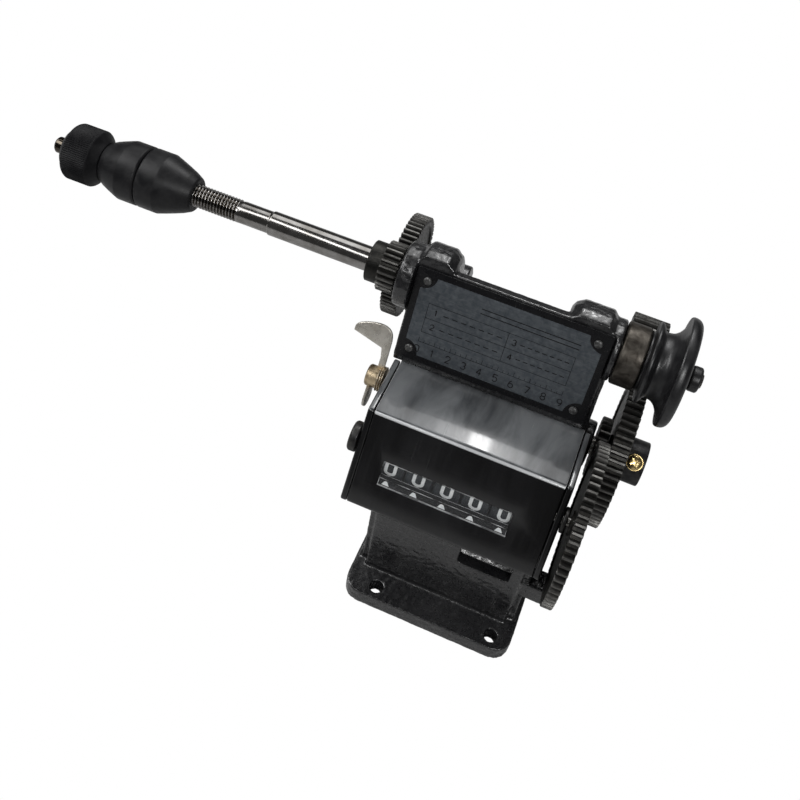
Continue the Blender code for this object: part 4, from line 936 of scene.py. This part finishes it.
def gear(node, axis, body, hub=None, web=True):
    """A spur gear with curved flanks, broken tips and a recessed web, in the place of a CAD gear.

    A hub is given as (where it ends, its radius) and stands out on the left.
    """
    middle, teeth, tip = first_tooth(node, axis)
    flanks, root = tooth_outline(middle, teeth, tip)
    low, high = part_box(node)
    bore = min(distance(p, axis) for p in vertices(node))
    start, end = (hub[0] if hub else low.x), high.x
    rim = root - GEAR_RIM
    boss = bore + GEAR_BOSS_WALL
    depth = GEAR_WEB_DEPTH if web and rim > boss + GEAR_WEB_LEAST else 0
    rings = []
    if hub:
        rings += [(low.x, bore + EDGE_ROUND), (low.x, hub[1] - EDGE_ROUND), (low.x + EDGE_ROUND, hub[1])]
        rings += [(start, hub[1]), (start, root - TOUCH)]
    else:
        rings += [(start, bore + EDGE_ROUND)]
        if depth:
            rings += [(start, boss), (start + depth, boss + depth)]
            rings += [(start + depth, rim - depth), (start, rim)]
    rings += [(start, "cut"), (start + GEAR_TIP_BREAK, "full"), (end - GEAR_TIP_BREAK, "full"), (end, "cut")]
    if depth:
        rings += [(end, rim), (end - depth, rim - depth), (end - depth, boss + depth), (end, boss)]
    rings += [(end, bore + EDGE_ROUND), (end - EDGE_ROUND, bore), (rings[0][0] + EDGE_ROUND, bore)]
    points = []
    for x, radius in rings:
        for angle, r in flanks:
            if radius == "cut":
                r = min(r, tip - GEAR_TIP_BREAK)
            elif radius != "full":
                r = radius
            points.append(round_axis(x, axis, angle, r))
    part = points, ring_faces(len(rings), len(flanks), True)
    finish = gear_steel(f"{node}_steel", axis, root, tip)
    add_look(node, part, finish, body, GEAR_SMOOTH_LIMIT)


def hub_of(node, axis):
    """Where the hub on a CAD gear's left ends, and its radius."""
    rows, _ = profile(node, axis)
    radius = max(r for x, r in rows if x < rows[0][0] + MM)
    return min(x for x, r in rows if r > radius + MM), radius


# The crank's hub with its brass screw


def screw_frame():
    """A matrix whose X axis runs out of the crank's axis along the screw."""
    places = vertices("screw_washer")
    middle = sum(places, Vector()) / len(places)
    origin = Vector((middle.x, *CRANK))
    out = (middle - origin).normalized()
    across = Vector((1, 0, 0))
    return Matrix.Translation(origin) @ Matrix((out, across, out.cross(across))).transposed().to_4x4()


def reach_of(node, place):
    """How far a node reaches along a matrix's X axis, lowest and highest, and from that axis."""
    inverse = place.inverted()
    local = [inverse @ p for p in vertices(node)]
    return min(p.x for p in local), max(p.x for p in local), max(math.hypot(p.y, p.z) for p in local)


def crank_hub(finish, brass_finish):
    """The hub with a seat cut round the washer, the washer, and the screw with a cross in its dome."""
    low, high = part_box("crank_hub")
    radius = (high.y - low.y) / 2
    bore = min(distance(p, CRANK) for p in vertices("crank_hub"))
    place = screw_frame()
    washer_low, washer_high, washer_radius = reach_of("screw_washer", place)
    head_low, head_high, head_radius = reach_of("crank_screw", place)
    rows = filleted(tube(low.x, high.x, bore, radius), HUB_ROUND, True)
    hub = bare_object("crank_hub_look", lathe(rows, CRANK))
    seat_radius = washer_radius + SEAT_MARGIN
    rows = [(washer_low - SEAT_MARGIN, seat_radius), (2 * radius, seat_radius)]
    seat = bare_object("hub_seat", stud(rows, place))
    carve(hub, [seat], SEAT_BEVEL)
    dress(hub, finish, "crank", ["crank_hub"])
    shank = head_radius / 2
    rows = filleted(tube(washer_low, washer_high, shank + SHANK_GAP, washer_radius), EDGE_ROUND, True)
    washer = moved(lathe(rows, (0, 0), SMALL_SIDES), place)
    add_look("screw_washer", washer, brass_finish, "crank")
    rows = [(head_low, shank), (washer_high, shank), (washer_high, head_radius)]
    rows += dome(head_high - DOME_HEIGHT, head_high, head_radius)
    screw = bare_object("crank_screw_look", stud(rows, place))
    lean = place @ Matrix.Rotation(SLOT_TURN, 4, "X") @ ALONG_X
    slots = []
    for label, half_y, half_z in (("slot_a", SLOT_REACH, SLOT_HALF), ("slot_b", SLOT_HALF, SLOT_REACH)):
        outline = rectangle(-half_y, -half_z, half_y, half_z)
        slots.append(bare_object(label, slab(outline, head_high - SLOT_DEPTH, head_high + MM, 0, lean)))
    carve(screw, slots, SLOT_BEVEL)
    dress(screw, brass_finish, "crank", ["crank_screw"])


# The counter


def case_frame():
    """The case's outline, the window's, and the sloping face's upper corner with its down and out."""
    corners = hull("counter_cover")
    nose = min(corners, key=lambda p: p[0])
    upper = max((p for p in corners if p != nose), key=lambda p: (round(p[1], LEVEL_DECIMALS), -p[0]))
    down = (Vector(nose) - Vector(upper)).normalized()
    return corners, hull("window_cover"), Vector(upper), down, Vector((down.y, -down.x))


def counter_case(finish, side_finish):
    """The folded sheet cover with its window opening, and its two side plates.

    It gives back the window: its left and right along X, and its top and foot down the sloping face.
    """
    corners, glass, upper, down, out = case_frame()
    low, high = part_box("counter_cover")
    glass_low, glass_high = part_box("window_cover")
    rear, crown = max(y for y, z in corners), max(z for y, z in corners)
    # The rear top corner drawn out backwards, a dark sheet that stands in for the shade in the gap under the
    # nameplate
    corners = [(y + COVER_SHADE_TAIL, z) if (y, z) == (rear, crown) else (y, z) for y, z in corners]
    sheet = slab(rounded_path(corners, FOLD_RADIUS), low.x, high.x, SHEET_EDGE, ALONG_X)
    cover = bare_object("counter_cover_look", sheet)
    inner = rounded_path(shrunk(corners, COVER_THICKNESS), FOLD_RADIUS / 2)
    inside = bare_object("case_inside", slab(inner, low.x - MM, high.x + MM, 0, ALONG_X))
    depths = [(Vector(p) - upper).dot(down) for p in glass]
    top, foot = min(depths), max(depths)
    hole_outline = [
        tuple(upper + down * at + out * height)
        for at, height in (
            (top - WINDOW_GAP, MM),
            (foot + WINDOW_GAP, MM),
            (foot + WINDOW_GAP, -2 * COVER_THICKNESS),
            (top - WINDOW_GAP, -2 * COVER_THICKNESS),
        )
    ]
    hole = slab(hole_outline, glass_low.x - WINDOW_GAP, glass_high.x + WINDOW_GAP, 0, ALONG_X)
    carve(cover, [inside, bare_object("window_hole", hole)], SHEET_BEVEL)
    dress(cover, finish, "frame", ["counter_cover"])
    for node in ("counter_left_plate", "counter_right_plate"):
        plate_low, plate_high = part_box(node)
        plate = slab(rounded_path(hull(node), PLATE_CORNER), plate_low.x, plate_high.x, PLATE_EDGE, ALONG_X)
        add_look(node, plate, side_finish, "frame")
    return glass_low.x, glass_high.x, top, foot


def window(sides, glass_finish, glint_finish, ledge_finish, mark_finish):
    """The clear cover with painted glints along its edges and the ledge, the ledge behind its foot, and the
    marks under the digits.
    """
    left, right, top, foot = sides
    _, _, upper, down, out = case_frame()
    face = leaning_frame(0, upper, down, out)
    glass = slab(rectangle(left, top, right, foot), -GLASS_BACK, -GLASS_FRONT, GLASS_EDGE, face)
    add_look("window_cover", glass, glass_finish, "frame")
    ledge_top = foot - LEDGE_SHARE * (foot - top)
    ledge_front = LEDGE_DEPTH - LEDGE_THICKNESS
    ledge = slab(rectangle(left, ledge_top, right, foot), -LEDGE_DEPTH, -ledge_front, GLASS_EDGE, face)
    add_piece("window_ledge", ledge, ledge_finish, "frame")
    ledge_line = foot - LEDGE_LINE_SHARE * (foot - top)
    # Pale strips that paint glints along the cover's edges and across the ledge
    glint_strips = []
    for outline in (
        rectangle(left, top, right, top + COVER_LINE),
        rectangle(left, foot - COVER_LINE, right, foot),
        rectangle(left, top + COVER_LINE, left + COVER_LINE, foot - COVER_LINE),
        rectangle(right - COVER_LINE, top + COVER_LINE, right, foot - COVER_LINE),
        rectangle(left, ledge_line - COVER_LINE, right, ledge_line),
    ):
        glint_strips.append(slab(outline, -GLASS_FRONT, COVER_LINE_RELIEF - GLASS_FRONT, 0, face))
    add_piece("window_cover_glints", joined(glint_strips), glint_finish, "frame")
    marks = []
    for number in range(1, DIGIT_WHEELS + 1):
        outline = window_mark(middle_x(f"digit_wheel_{number}"), foot - WINDOW_GAP)
        marks.append(slab(outline, -ledge_front, MARK_RELIEF - ledge_front, 0, face))
    add_piece("window_marks", joined(marks), mark_finish, "frame")


def window_mark(middle, base):
    """A small tongue that stands on the window's foot under a figure."""
    shoulder, tip = base - MARK_HEIGHT * MARK_SHOULDER_SHARE, base - MARK_HEIGHT
    return [
        (middle - MARK_WIDTH / 2, base),
        (middle + MARK_WIDTH / 2, base),
        (middle + MARK_WIDTH / 4, shoulder),
        (middle + MARK_WIDTH / 8, tip),
        (middle - MARK_WIDTH / 8, tip),
        (middle - MARK_WIDTH / 4, shoulder),
    ]


def arc(middle, radii, start, end, steps=14):
    """Points of an elliptical arc, with angles in degrees anticlockwise from the right."""
    made = []
    for k in range(steps + 1):
        angle = math.radians(start + (end - start) * k / steps)
        made.append((middle[0] + radii[0] * math.cos(angle), middle[1] + radii[1] * math.sin(angle)))
    return made


def line(start, end, steps=8):
    """Points of a straight stroke."""
    return [
        (start[0] + (end[0] - start[0]) * k / steps, start[1] + (end[1] - start[1]) * k / steps)
        for k in range(steps + 1)
    ]


def figure(value):
    """A figure's strokes in a box from -1 to 1 across and -1 to 1 up."""
    return {
        0: [
            arc((0, 0.5), (1, 0.5), 0, 180)
            + line((-1, 0.5), (-1, -0.5))
            + arc((0, -0.5), (1, 0.5), 180, 360)
            + line((1, -0.5), (1, 0.5))
        ],
        1: [line((0, 1), (0, -1)), line((-0.5, 0.6), (0, 1))],
        2: [arc((0, 0.4), (1, 0.6), 170, -30) + line((0.87, 0.1), (-1, -1)), line((-1, -1), (1, -1))],
        3: [arc((0, 0.48), (0.9, 0.52), 160, -80), arc((0, -0.48), (1, 0.52), 80, -160)],
        4: [line((0.4, -1), (0.4, 1)) + line((0.4, 1), (-1, -0.4)) + line((-1, -0.4), (1, -0.4))],
        5: [
            line((0.9, 1), (-0.8, 1))
            + line((-0.8, 1), (-0.9, 0.05))
            + arc((0, -0.35), (1, 0.65), 140, -150)
        ],
        6: [arc((0, -0.4), (1, 0.6), 0, 360, 24), arc((0.6, -0.3), (1.6, 1.3), 175, 110)],
        7: [line((-1, 1), (1, 1)) + line((1, 1), (-0.3, -1))],
        8: [arc((0, 0.5), (0.85, 0.5), 0, 360, 24), arc((0, -0.47), (1, 0.53), 0, 360, 24)],
        9: [arc((0, 0.4), (1, 0.6), 0, 360, 24), arc((-0.6, 0.3), (1.6, 1.3), -5, -70)],
    }[value]


def figure_ribbons(value, half_across, half_up, width, lay):
    """A figure as flat strokes. What is given as lay turns (across, up, height) into a point."""
    return [
        ribbon([(u * half_across, v * half_up) for u, v in stroke], width / 2, lay)
        for stroke in figure(value)
    ]


def ribbon(stroke, half_width, lay):
    """A flat stroke of constant width."""
    points = []
    count = len(stroke)
    for k, here in enumerate(stroke):
        before, after = Vector(stroke[max(0, k - 1)]), Vector(stroke[min(count - 1, k + 1)])
        along = (after - before).normalized() if (after - before).length else Vector((0, 1))
        normal = left_of(along) * half_width
        for side, face in ((-1, -1), (-1, 1), (1, 1), (1, -1)):
            points.append(lay(here[0] + normal.x * side, here[1] + normal.y * side, face * FIGURE_RELIEF))
    return points, ring_faces(count, 4, False)


def digit_wheels(wheel_finish, figure_finish, facing):
    """The wheels, each with ten figures, its 0 turned to the window."""
    half_across, half_up = (DIGIT_FIGURE_WIDTH - DIGIT_STROKE) / 2, (DIGIT_HEIGHT - DIGIT_STROKE) / 2
    for number in range(1, DIGIT_WHEELS + 1):
        node = f"digit_wheel_{number}"
        turned_piece(node, DIGITS, wheel_finish, f"digit_{number}")
        low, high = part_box(node)
        middle = middle_x(node)
        drum = (high.z - low.z) / 2
        strokes = []
        for value in range(FIGURES):
            turn = facing + DIGIT_TURN - 2 * math.pi * value / FIGURES

            def lay(across, up, height, turn=turn):
                return round_axis(middle + across, DIGITS, turn - up / drum, drum + height)

            strokes += figure_ribbons(value, half_across, half_up, DIGIT_STROKE, lay)
        add_piece(f"figures_{number}", joined(strokes), figure_finish, f"digit_{number}")


# The nameplate and its rivets


def plate_frame():
    """Maps (along X, up the plate, out of it) to the row frame, with the origin on the plate's front."""
    low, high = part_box("nameplate")
    ordered = sorted(hull("nameplate"), key=lambda p: p[1])
    foot = Vector(min(ordered[:2], key=lambda p: p[0]))
    head = Vector(min(ordered[2:], key=lambda p: p[0]))
    up = (head - foot).normalized()
    place = leaning_frame(middle_x("nameplate"), (head + foot) / 2, up, left_of(up))
    return place, high.x - low.x, (head - foot).length


def notched(width, height, notch, steps=10):
    """A rectangle with round bites at its corners, anticlockwise."""
    made = []
    for sign_u, sign_v, start in ((1, 1, 270), (-1, 1, 0), (-1, -1, 90), (1, -1, 180)):
        corner = (sign_u * width / 2, sign_v * height / 2)
        made += arc(corner, (notch, notch), start, start - 90, steps)
    return made


def rule(start, end, place, width):
    """A raised straight line on the plate."""
    start, end = Vector(start), Vector(end)
    along = (end - start).normalized()
    side = left_of(along) * width / 2
    start, end = start - along * width / 2, end + along * width / 2
    outline = [tuple(start - side), tuple(end - side), tuple(end + side), tuple(start + side)]
    return slab(outline, -CENTRE_DROP - RULE_RELIEF, RULE_RELIEF - CENTRE_DROP, 0, place)


def plate_figure(value, middle, height, place):
    """A plain figure on the plate."""

    def lay(across, up, raised):
        return place @ Vector((middle[0] + across, middle[1] + up, raised - CENTRE_DROP))

    half_up = (height - RULE_WIDTH) / 2
    return figure_ribbons(value, half_up * FIGURE_WIDTH_SHARE, half_up, RULE_WIDTH, lay)


def plate_rules(place, width, height):
    """A ruled table whose cells hold plain figures and dashes, over a scale from 0 to 9."""
    made = []
    thin = RULE_WIDTH / 2
    left, right, split = (share * width for share in TABLE_ACROSS_SHARES)
    levels = [share * height for share in TABLE_UP_SHARES]
    for level in levels:
        made.append(rule((left, level), (right, level), place, thin))
    for x in (left, split, right):
        made.append(rule((x, levels[0]), (x, levels[-1]), place, thin))
    figures = iter(range(1, FIGURES))
    for cell_left, cell_right in ((left, split), (split, right)):
        for upper, lower in zip(levels, levels[1:]):
            y = (upper + lower) / 2
            pitch = (cell_right - cell_left) / (DASHES + 2)
            made += plate_figure(next(figures), (cell_left + pitch, y), SMALL_FIGURE, place)
            for k in range(DASHES):
                x = cell_left + (k + DASH_START) * pitch
                made.append(rule((x, y), (x + pitch / 2, y), place, RULE_WIDTH))
    base = SCALE_SHARE * height
    made.append(rule((left, base), (right, base), place, thin))
    for k in range(SCALE_TICKS + 1):
        x = left + (right - left) * k / SCALE_TICKS
        value, between = divmod(k, TICKS_PER_FIGURE)
        made.append(rule((x, base), (x, base + (SHORT_TICK if between else LONG_TICK)), place, thin))
        if not between:
            made += plate_figure(value, (x, base - LARGE_FIGURE), LARGE_FIGURE, place)
    for share in TITLE_RULE_SHARES:
        start, end = (TITLE_START_SHARE * width, share * height), (right, share * height)
        made.append(rule(start, end, place, RULE_WIDTH))
    return made


def nameplate(rim_finish, centre_finish, rivet_finish):
    """The plate with its rim, its brushed centre, what is raised on that, and its rivets."""
    place, width, height = plate_frame()
    corners = rectangle(-width / 2, -height / 2, width / 2, height / 2)
    outline = rounded_path(corners, PLATE_ROUND, PLATE_ROUND_STEPS)
    base = slab(outline, -PLATE_THICKNESS, -PLATE_RELIEF, PLATE_RELIEF, place)
    add_piece("nameplate_base", base, rim_finish, "frame", ["nameplate"])
    outline = notched(width - 2 * PLATE_RIM, height - 2 * PLATE_RIM, PLATE_NOTCH)
    centre = slab(outline, -2 * PLATE_RELIEF, -CENTRE_DROP, CENTRE_DROP, place)
    add_piece("nameplate_centre", centre, centre_finish, "frame")
    rules = joined(plate_rules(place, width, height))
    add_piece("nameplate_rules", rules, rim_finish, "frame")
    for number in range(1, RIVETS + 1):
        node = f"rivet_{number}"
        local = [place.inverted() @ p for p in vertices(node)]
        middle = sum(local, Vector()) / len(local)
        top = max(p.z for p in local)
        radius = max(math.hypot(p.x - middle.x, p.y - middle.y) for p in local)
        rows = [(-PLATE_RELIEF, radius), *dome(top * RIVET_SIDE_SHARE, top, radius)]
        stand = place @ Matrix.Translation((middle.x, middle.y, 0)) @ OUT_OF_PLATE
        add_look(node, stud(rows, stand), rivet_finish, "frame")


# The butterfly knob


def reset_knob(finish):
    """A hub with a stack of rings, an upper wing like a half-round flag, and a lower wing seen edge on."""
    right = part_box("reset_knob")[1].x
    knob_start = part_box("counter_left_plate")[0].x - KNOB_GAP
    ring_start = knob_start - KNOB_RINGS * KNOB_RING_PITCH
    hub_start = ring_start - KNOB_HUB_LENGTH
    rows = [
        (hub_start, KNOB_HUB_RADIUS / 2),
        (hub_start + EDGE_ROUND, KNOB_HUB_RADIUS - 2 * EDGE_ROUND),
        (hub_start + 3 * EDGE_ROUND, KNOB_HUB_RADIUS),
        (ring_start - EDGE_ROUND, KNOB_HUB_RADIUS),
    ]
    for k in range(KNOB_RINGS):
        x = ring_start + k * KNOB_RING_PITCH
        rows += [(x, KNOB_HUB_RADIUS), (x + EDGE_ROUND / 2, KNOB_RING_RADIUS)]
        rows.append((x + KNOB_RING_WIDTH, KNOB_RING_RADIUS))
    rows += [(knob_start, KNOB_HUB_RADIUS), (knob_start, KNOB_STEM_RADIUS), (right, KNOB_STEM_RADIUS)]
    hub = lathe(filleted(rows, EDGE_ROUND), KNOB, SMALL_SIDES, False)
    half = WING_THICKNESS / 2
    flag = Matrix.Translation((0, *KNOB)) @ Matrix.Rotation(WING_ANGLE, 4, "X")
    upper = slab(upper_wing(knob_start), -half, half, WING_EDGE, flag)
    middle = hub_start + KNOB_HUB_LENGTH / 2
    blade = flag @ Matrix.Rotation(math.pi, 4, "X") @ ALONG_X
    lower = slab(lower_wing(), middle - half, middle + half, WING_EDGE, blade)
    add_look("reset_knob", joined([hub, upper, lower]), finish, "reset_knob")


def upper_wing(knob_start, steps=24):
    """The upper wing seen flat, as (x, distance from the knob's axis)."""
    right = knob_start - WING_RIGHT_GAP
    neck_left = right - WING_NECK_WIDTH
    outline = [(neck_left, 0), (neck_left, WING_FLAT_RIGHT * WING_NECK_SHARE)]
    outline.append((neck_left - WING_NECK_WIDTH / 4, WING_FLAT_RIGHT))
    for k in range(steps + 1):
        across = (1 - math.cos(math.pi * k / steps)) / 2
        flat = WING_FLAT_LEFT + across * (WING_FLAT_RIGHT - WING_FLAT_LEFT)
        lean = WING_BULGE_LEFT + WING_BULGE_LEAN * across
        bulge = WING_BULGE * lean * math.sqrt(max(0.0, math.sin(math.pi * k / steps)))
        outline.append((right - WING_SPREAD + across * WING_SPREAD, flat + bulge))
    outline.append((right, 0))
    return outline


def lower_wing(steps=20):
    """The lower wing seen along X, as (distance from the axis, across): a blade with a round end."""
    half = LOWER_WING_WIDTH / 2
    neck = half * WING_NECK_SHARE
    tip = arc((0, LOWER_WING_REACH - half), (half, half), 0, 180, steps)
    return [(reach, across) for across, reach in [(neck, 0), *tip, (-neck, 0)]]


# Put the pieces together

PAINT = hammered_paint()
STEEL = bright_steel()
BLACK = black_steel()
CONE = satin_black("cone_black", 0.32, 0.46, rings=2200, gloss=0.22)
NUT = satin_black("nut_black", 0.38, 0.54, rings=2000, gloss=0.1)
PULLEY = satin_black("pulley_black", 0.26, 0.44, rings=1500, gloss=0.5)
# The cover's enamel carries a painted highlight along its bend, the side plates' does not
CASE = case_enamel("case_enamel", painted_bend_highlight=True)
CASE_SIDES = case_enamel("side_enamel", painted_bend_highlight=False)
WHITE = digit_white()
BRASS = brass()

casting(PAINT)
spindle(thread_steel())
clamp_nut(NUT)
turned_piece("outer_cone", SPINDLE, CONE, "outer_cone", fillet=CONE_ROUND)
turned_piece("inner_cone", SPINDLE, CONE, "inner_cone", fillet=CONE_ROUND)
turned_piece("collar", SPINDLE, worn_collar(), "spindle", fillet=COLLAR_ROUND)
turned_piece("pulley", SPINDLE, PULLEY, "spindle", fillet=PULLEY_ROUND)
turned_piece("end_nut", SPINDLE, PULLEY, "spindle", fillet=END_NUT_ROUND)
for shaft, axis, body in (
    ("countershaft", COUNTERSHAFT, "countershaft"),
    ("crank_shaft", CRANK, "crank"),
    ("counter_shaft", COUNTER, "counter_drive"),
    ("digit_axle", DIGITS, "frame"),
):
    turned_piece(shaft, axis, STEEL, body, bored=False, sides=SMALL_SIDES)
turned_piece(
    "counter_end_cap",
    COUNTER,
    BLACK,
    "frame",
    bored=False,
    fillet=END_CAP_ROUND,
    sides=SMALL_SIDES,
)
turned_piece("counter_gear_ring", COUNTER, BLACK, "counter_drive", sides=SMALL_SIDES)

gear("spindle_gear", SPINDLE, "spindle", hub=hub_of("spindle_gear", SPINDLE))
gear("countershaft_wheel", COUNTERSHAFT, "countershaft")
gear("countershaft_pinion", COUNTERSHAFT, "countershaft", web=False)
gear("crank_gear", CRANK, "crank")
gear("crank_pinion", CRANK, "crank", web=False)
gear("counter_gear", COUNTER, "counter_drive")

crank_hub(BLACK, BRASS)
window(counter_case(CASE, CASE_SIDES), clear_cover(), painted_edge_glints(), CASE, WHITE)
face_out = case_frame()[4]
digit_wheels(digit_black(), WHITE, math.atan2(face_out.y, face_out.x))
nameplate(plate_black(), plate_centre(), rivet_grey())
reset_knob(nickel())

# The floor, the light and the camera

FLOOR_SIZE = 6.0
FLOOR_DROP = 0.2 * MM
FLOOR_COLOUR = (0.45, 0.45, 0.45)
FLOOR_ROUGHNESS = 0.9
ROOM_LIGHT = 0.07
LIGHT_TARGET = Vector((-0.03, 0, 0.1))
# Each light: its name, its way from the object, its distance along that, its width, height and radiance
LIGHTS = (
    ("back_softbox", (-0.066, 0.553, 0.831), 1.5, 1.3, 1.0, 1.6),
    ("back_glow", (-0.02, 0.61, 0.792), 1.5, 0.4, 0.6, 2.5),
    ("back_strip", (-0.02, 0.61, 0.792), 1.49, 0.09, 0.45, 16),
    ("left_softbox", (-1.0, -0.2, 0.9), 1.4, 0.6, 0.6, 6),
    ("top_strip", (-0.5, -0.25, 1.0), 1.5, 2.2, 0.16, 6),
    ("front_softbox", (0.55, -0.9, 0.95), 1.5, 0.5, 0.45, 11),
)
# The camera fitted to the photograph, with its lens in pixels of the picture
FOCAL_PIXELS = 1032.78
IMAGE_PIXELS = 800
PRINCIPAL_PIXELS = (395.37, 283.74)
SENSOR = 36
CAMERA_NEAREST = 10 * MM
CAMERA_PLACE = Vector((21.772, -324.178, 507.101)) * MM
CAMERA_RIGHT = Vector((0.92240143, 0.3659284, 0.12357996))
CAMERA_UP = Vector((-0.34332273, 0.6302465, 0.69636116))
CAMERA_BACK = Vector((0.17693249, -0.68475234, 0.7069718))


def floor_white():
    """A pale surface that the camera sees as plain white."""
    made = Finish("floor_white", FLOOR_COLOUR, FLOOR_ROUGHNESS)
    seen = made.node("ShaderNodeLightPath").outputs["Is Camera Ray"]
    glow = made.node("ShaderNodeEmission", [("Strength", 1)]).outputs[0]
    mix = made.node("ShaderNodeMixShader", [(0, seen), (1, made.shader.outputs[0]), (2, glow)])
    made.tree.links.new(mix.outputs[0], made.tree.nodes["Material Output"].inputs[0])
    return made.material


def floor():
    mesh = bpy.data.meshes.new("floor")
    half = FLOOR_SIZE / 2
    mesh.from_pydata([(x, y, 0) for x, y in rectangle(-half, -half, half, half)], [], [(0, 1, 2, 3)])
    mesh.materials.append(floor_white())
    made = linked("floor", mesh)
    made.location = (0, 0, -FLOOR_DROP)


def world():
    """A dim white room that the camera sees as plain white."""
    made = bpy.data.worlds.new("studio")
    bpy.context.scene.world = made
    made.use_nodes = True
    tree = made.node_tree
    seen = add_node(tree, "ShaderNodeLightPath").outputs["Is Camera Ray"]
    inputs = [(0, seen), (FIRST_NUMBER, ROOM_LIGHT), (SECOND_NUMBER, 1)]
    mix = add_node(tree, "ShaderNodeMix", inputs, data_type="FLOAT")
    background = tree.nodes["Background"]
    background.inputs["Color"].default_value = (1, 1, 1, 1)
    tree.links.new(mix.outputs[0], background.inputs["Strength"])


def softbox(name, way, reach, width, height, radiance):
    """A flat light that lies along a way from the object and faces it."""
    data = bpy.data.lights.new(name, "AREA")
    data.shape = "RECTANGLE"
    data.size, data.size_y = width, height
    data.energy = radiance * math.pi * width * height
    made = linked(name, data)
    made.location = LIGHT_TARGET + Vector(way).normalized() * reach
    made.rotation_euler = (-Vector(way)).to_track_quat("-Z", "Y").to_euler()


def camera():
    """The camera, whose principal point lies off the middle of the picture."""
    data = bpy.data.cameras.new("camera")
    data.sensor_width = SENSOR
    data.lens = FOCAL_PIXELS / IMAGE_PIXELS * SENSOR
    data.shift_x = (IMAGE_PIXELS / 2 - PRINCIPAL_PIXELS[0]) / IMAGE_PIXELS
    data.shift_y = (PRINCIPAL_PIXELS[1] - IMAGE_PIXELS / 2) / IMAGE_PIXELS
    data.clip_start = CAMERA_NEAREST
    made = linked("camera", data)
    turn = Matrix((CAMERA_RIGHT, CAMERA_UP, CAMERA_BACK)).transposed().to_4x4()
    made.matrix_world = Matrix.Translation(CAMERA_PLACE) @ turn
    bpy.context.scene.camera = made


floor()
world()
for light in LIGHTS:
    softbox(*light)
camera()
bpy.context.scene.view_settings.view_transform = "Standard"
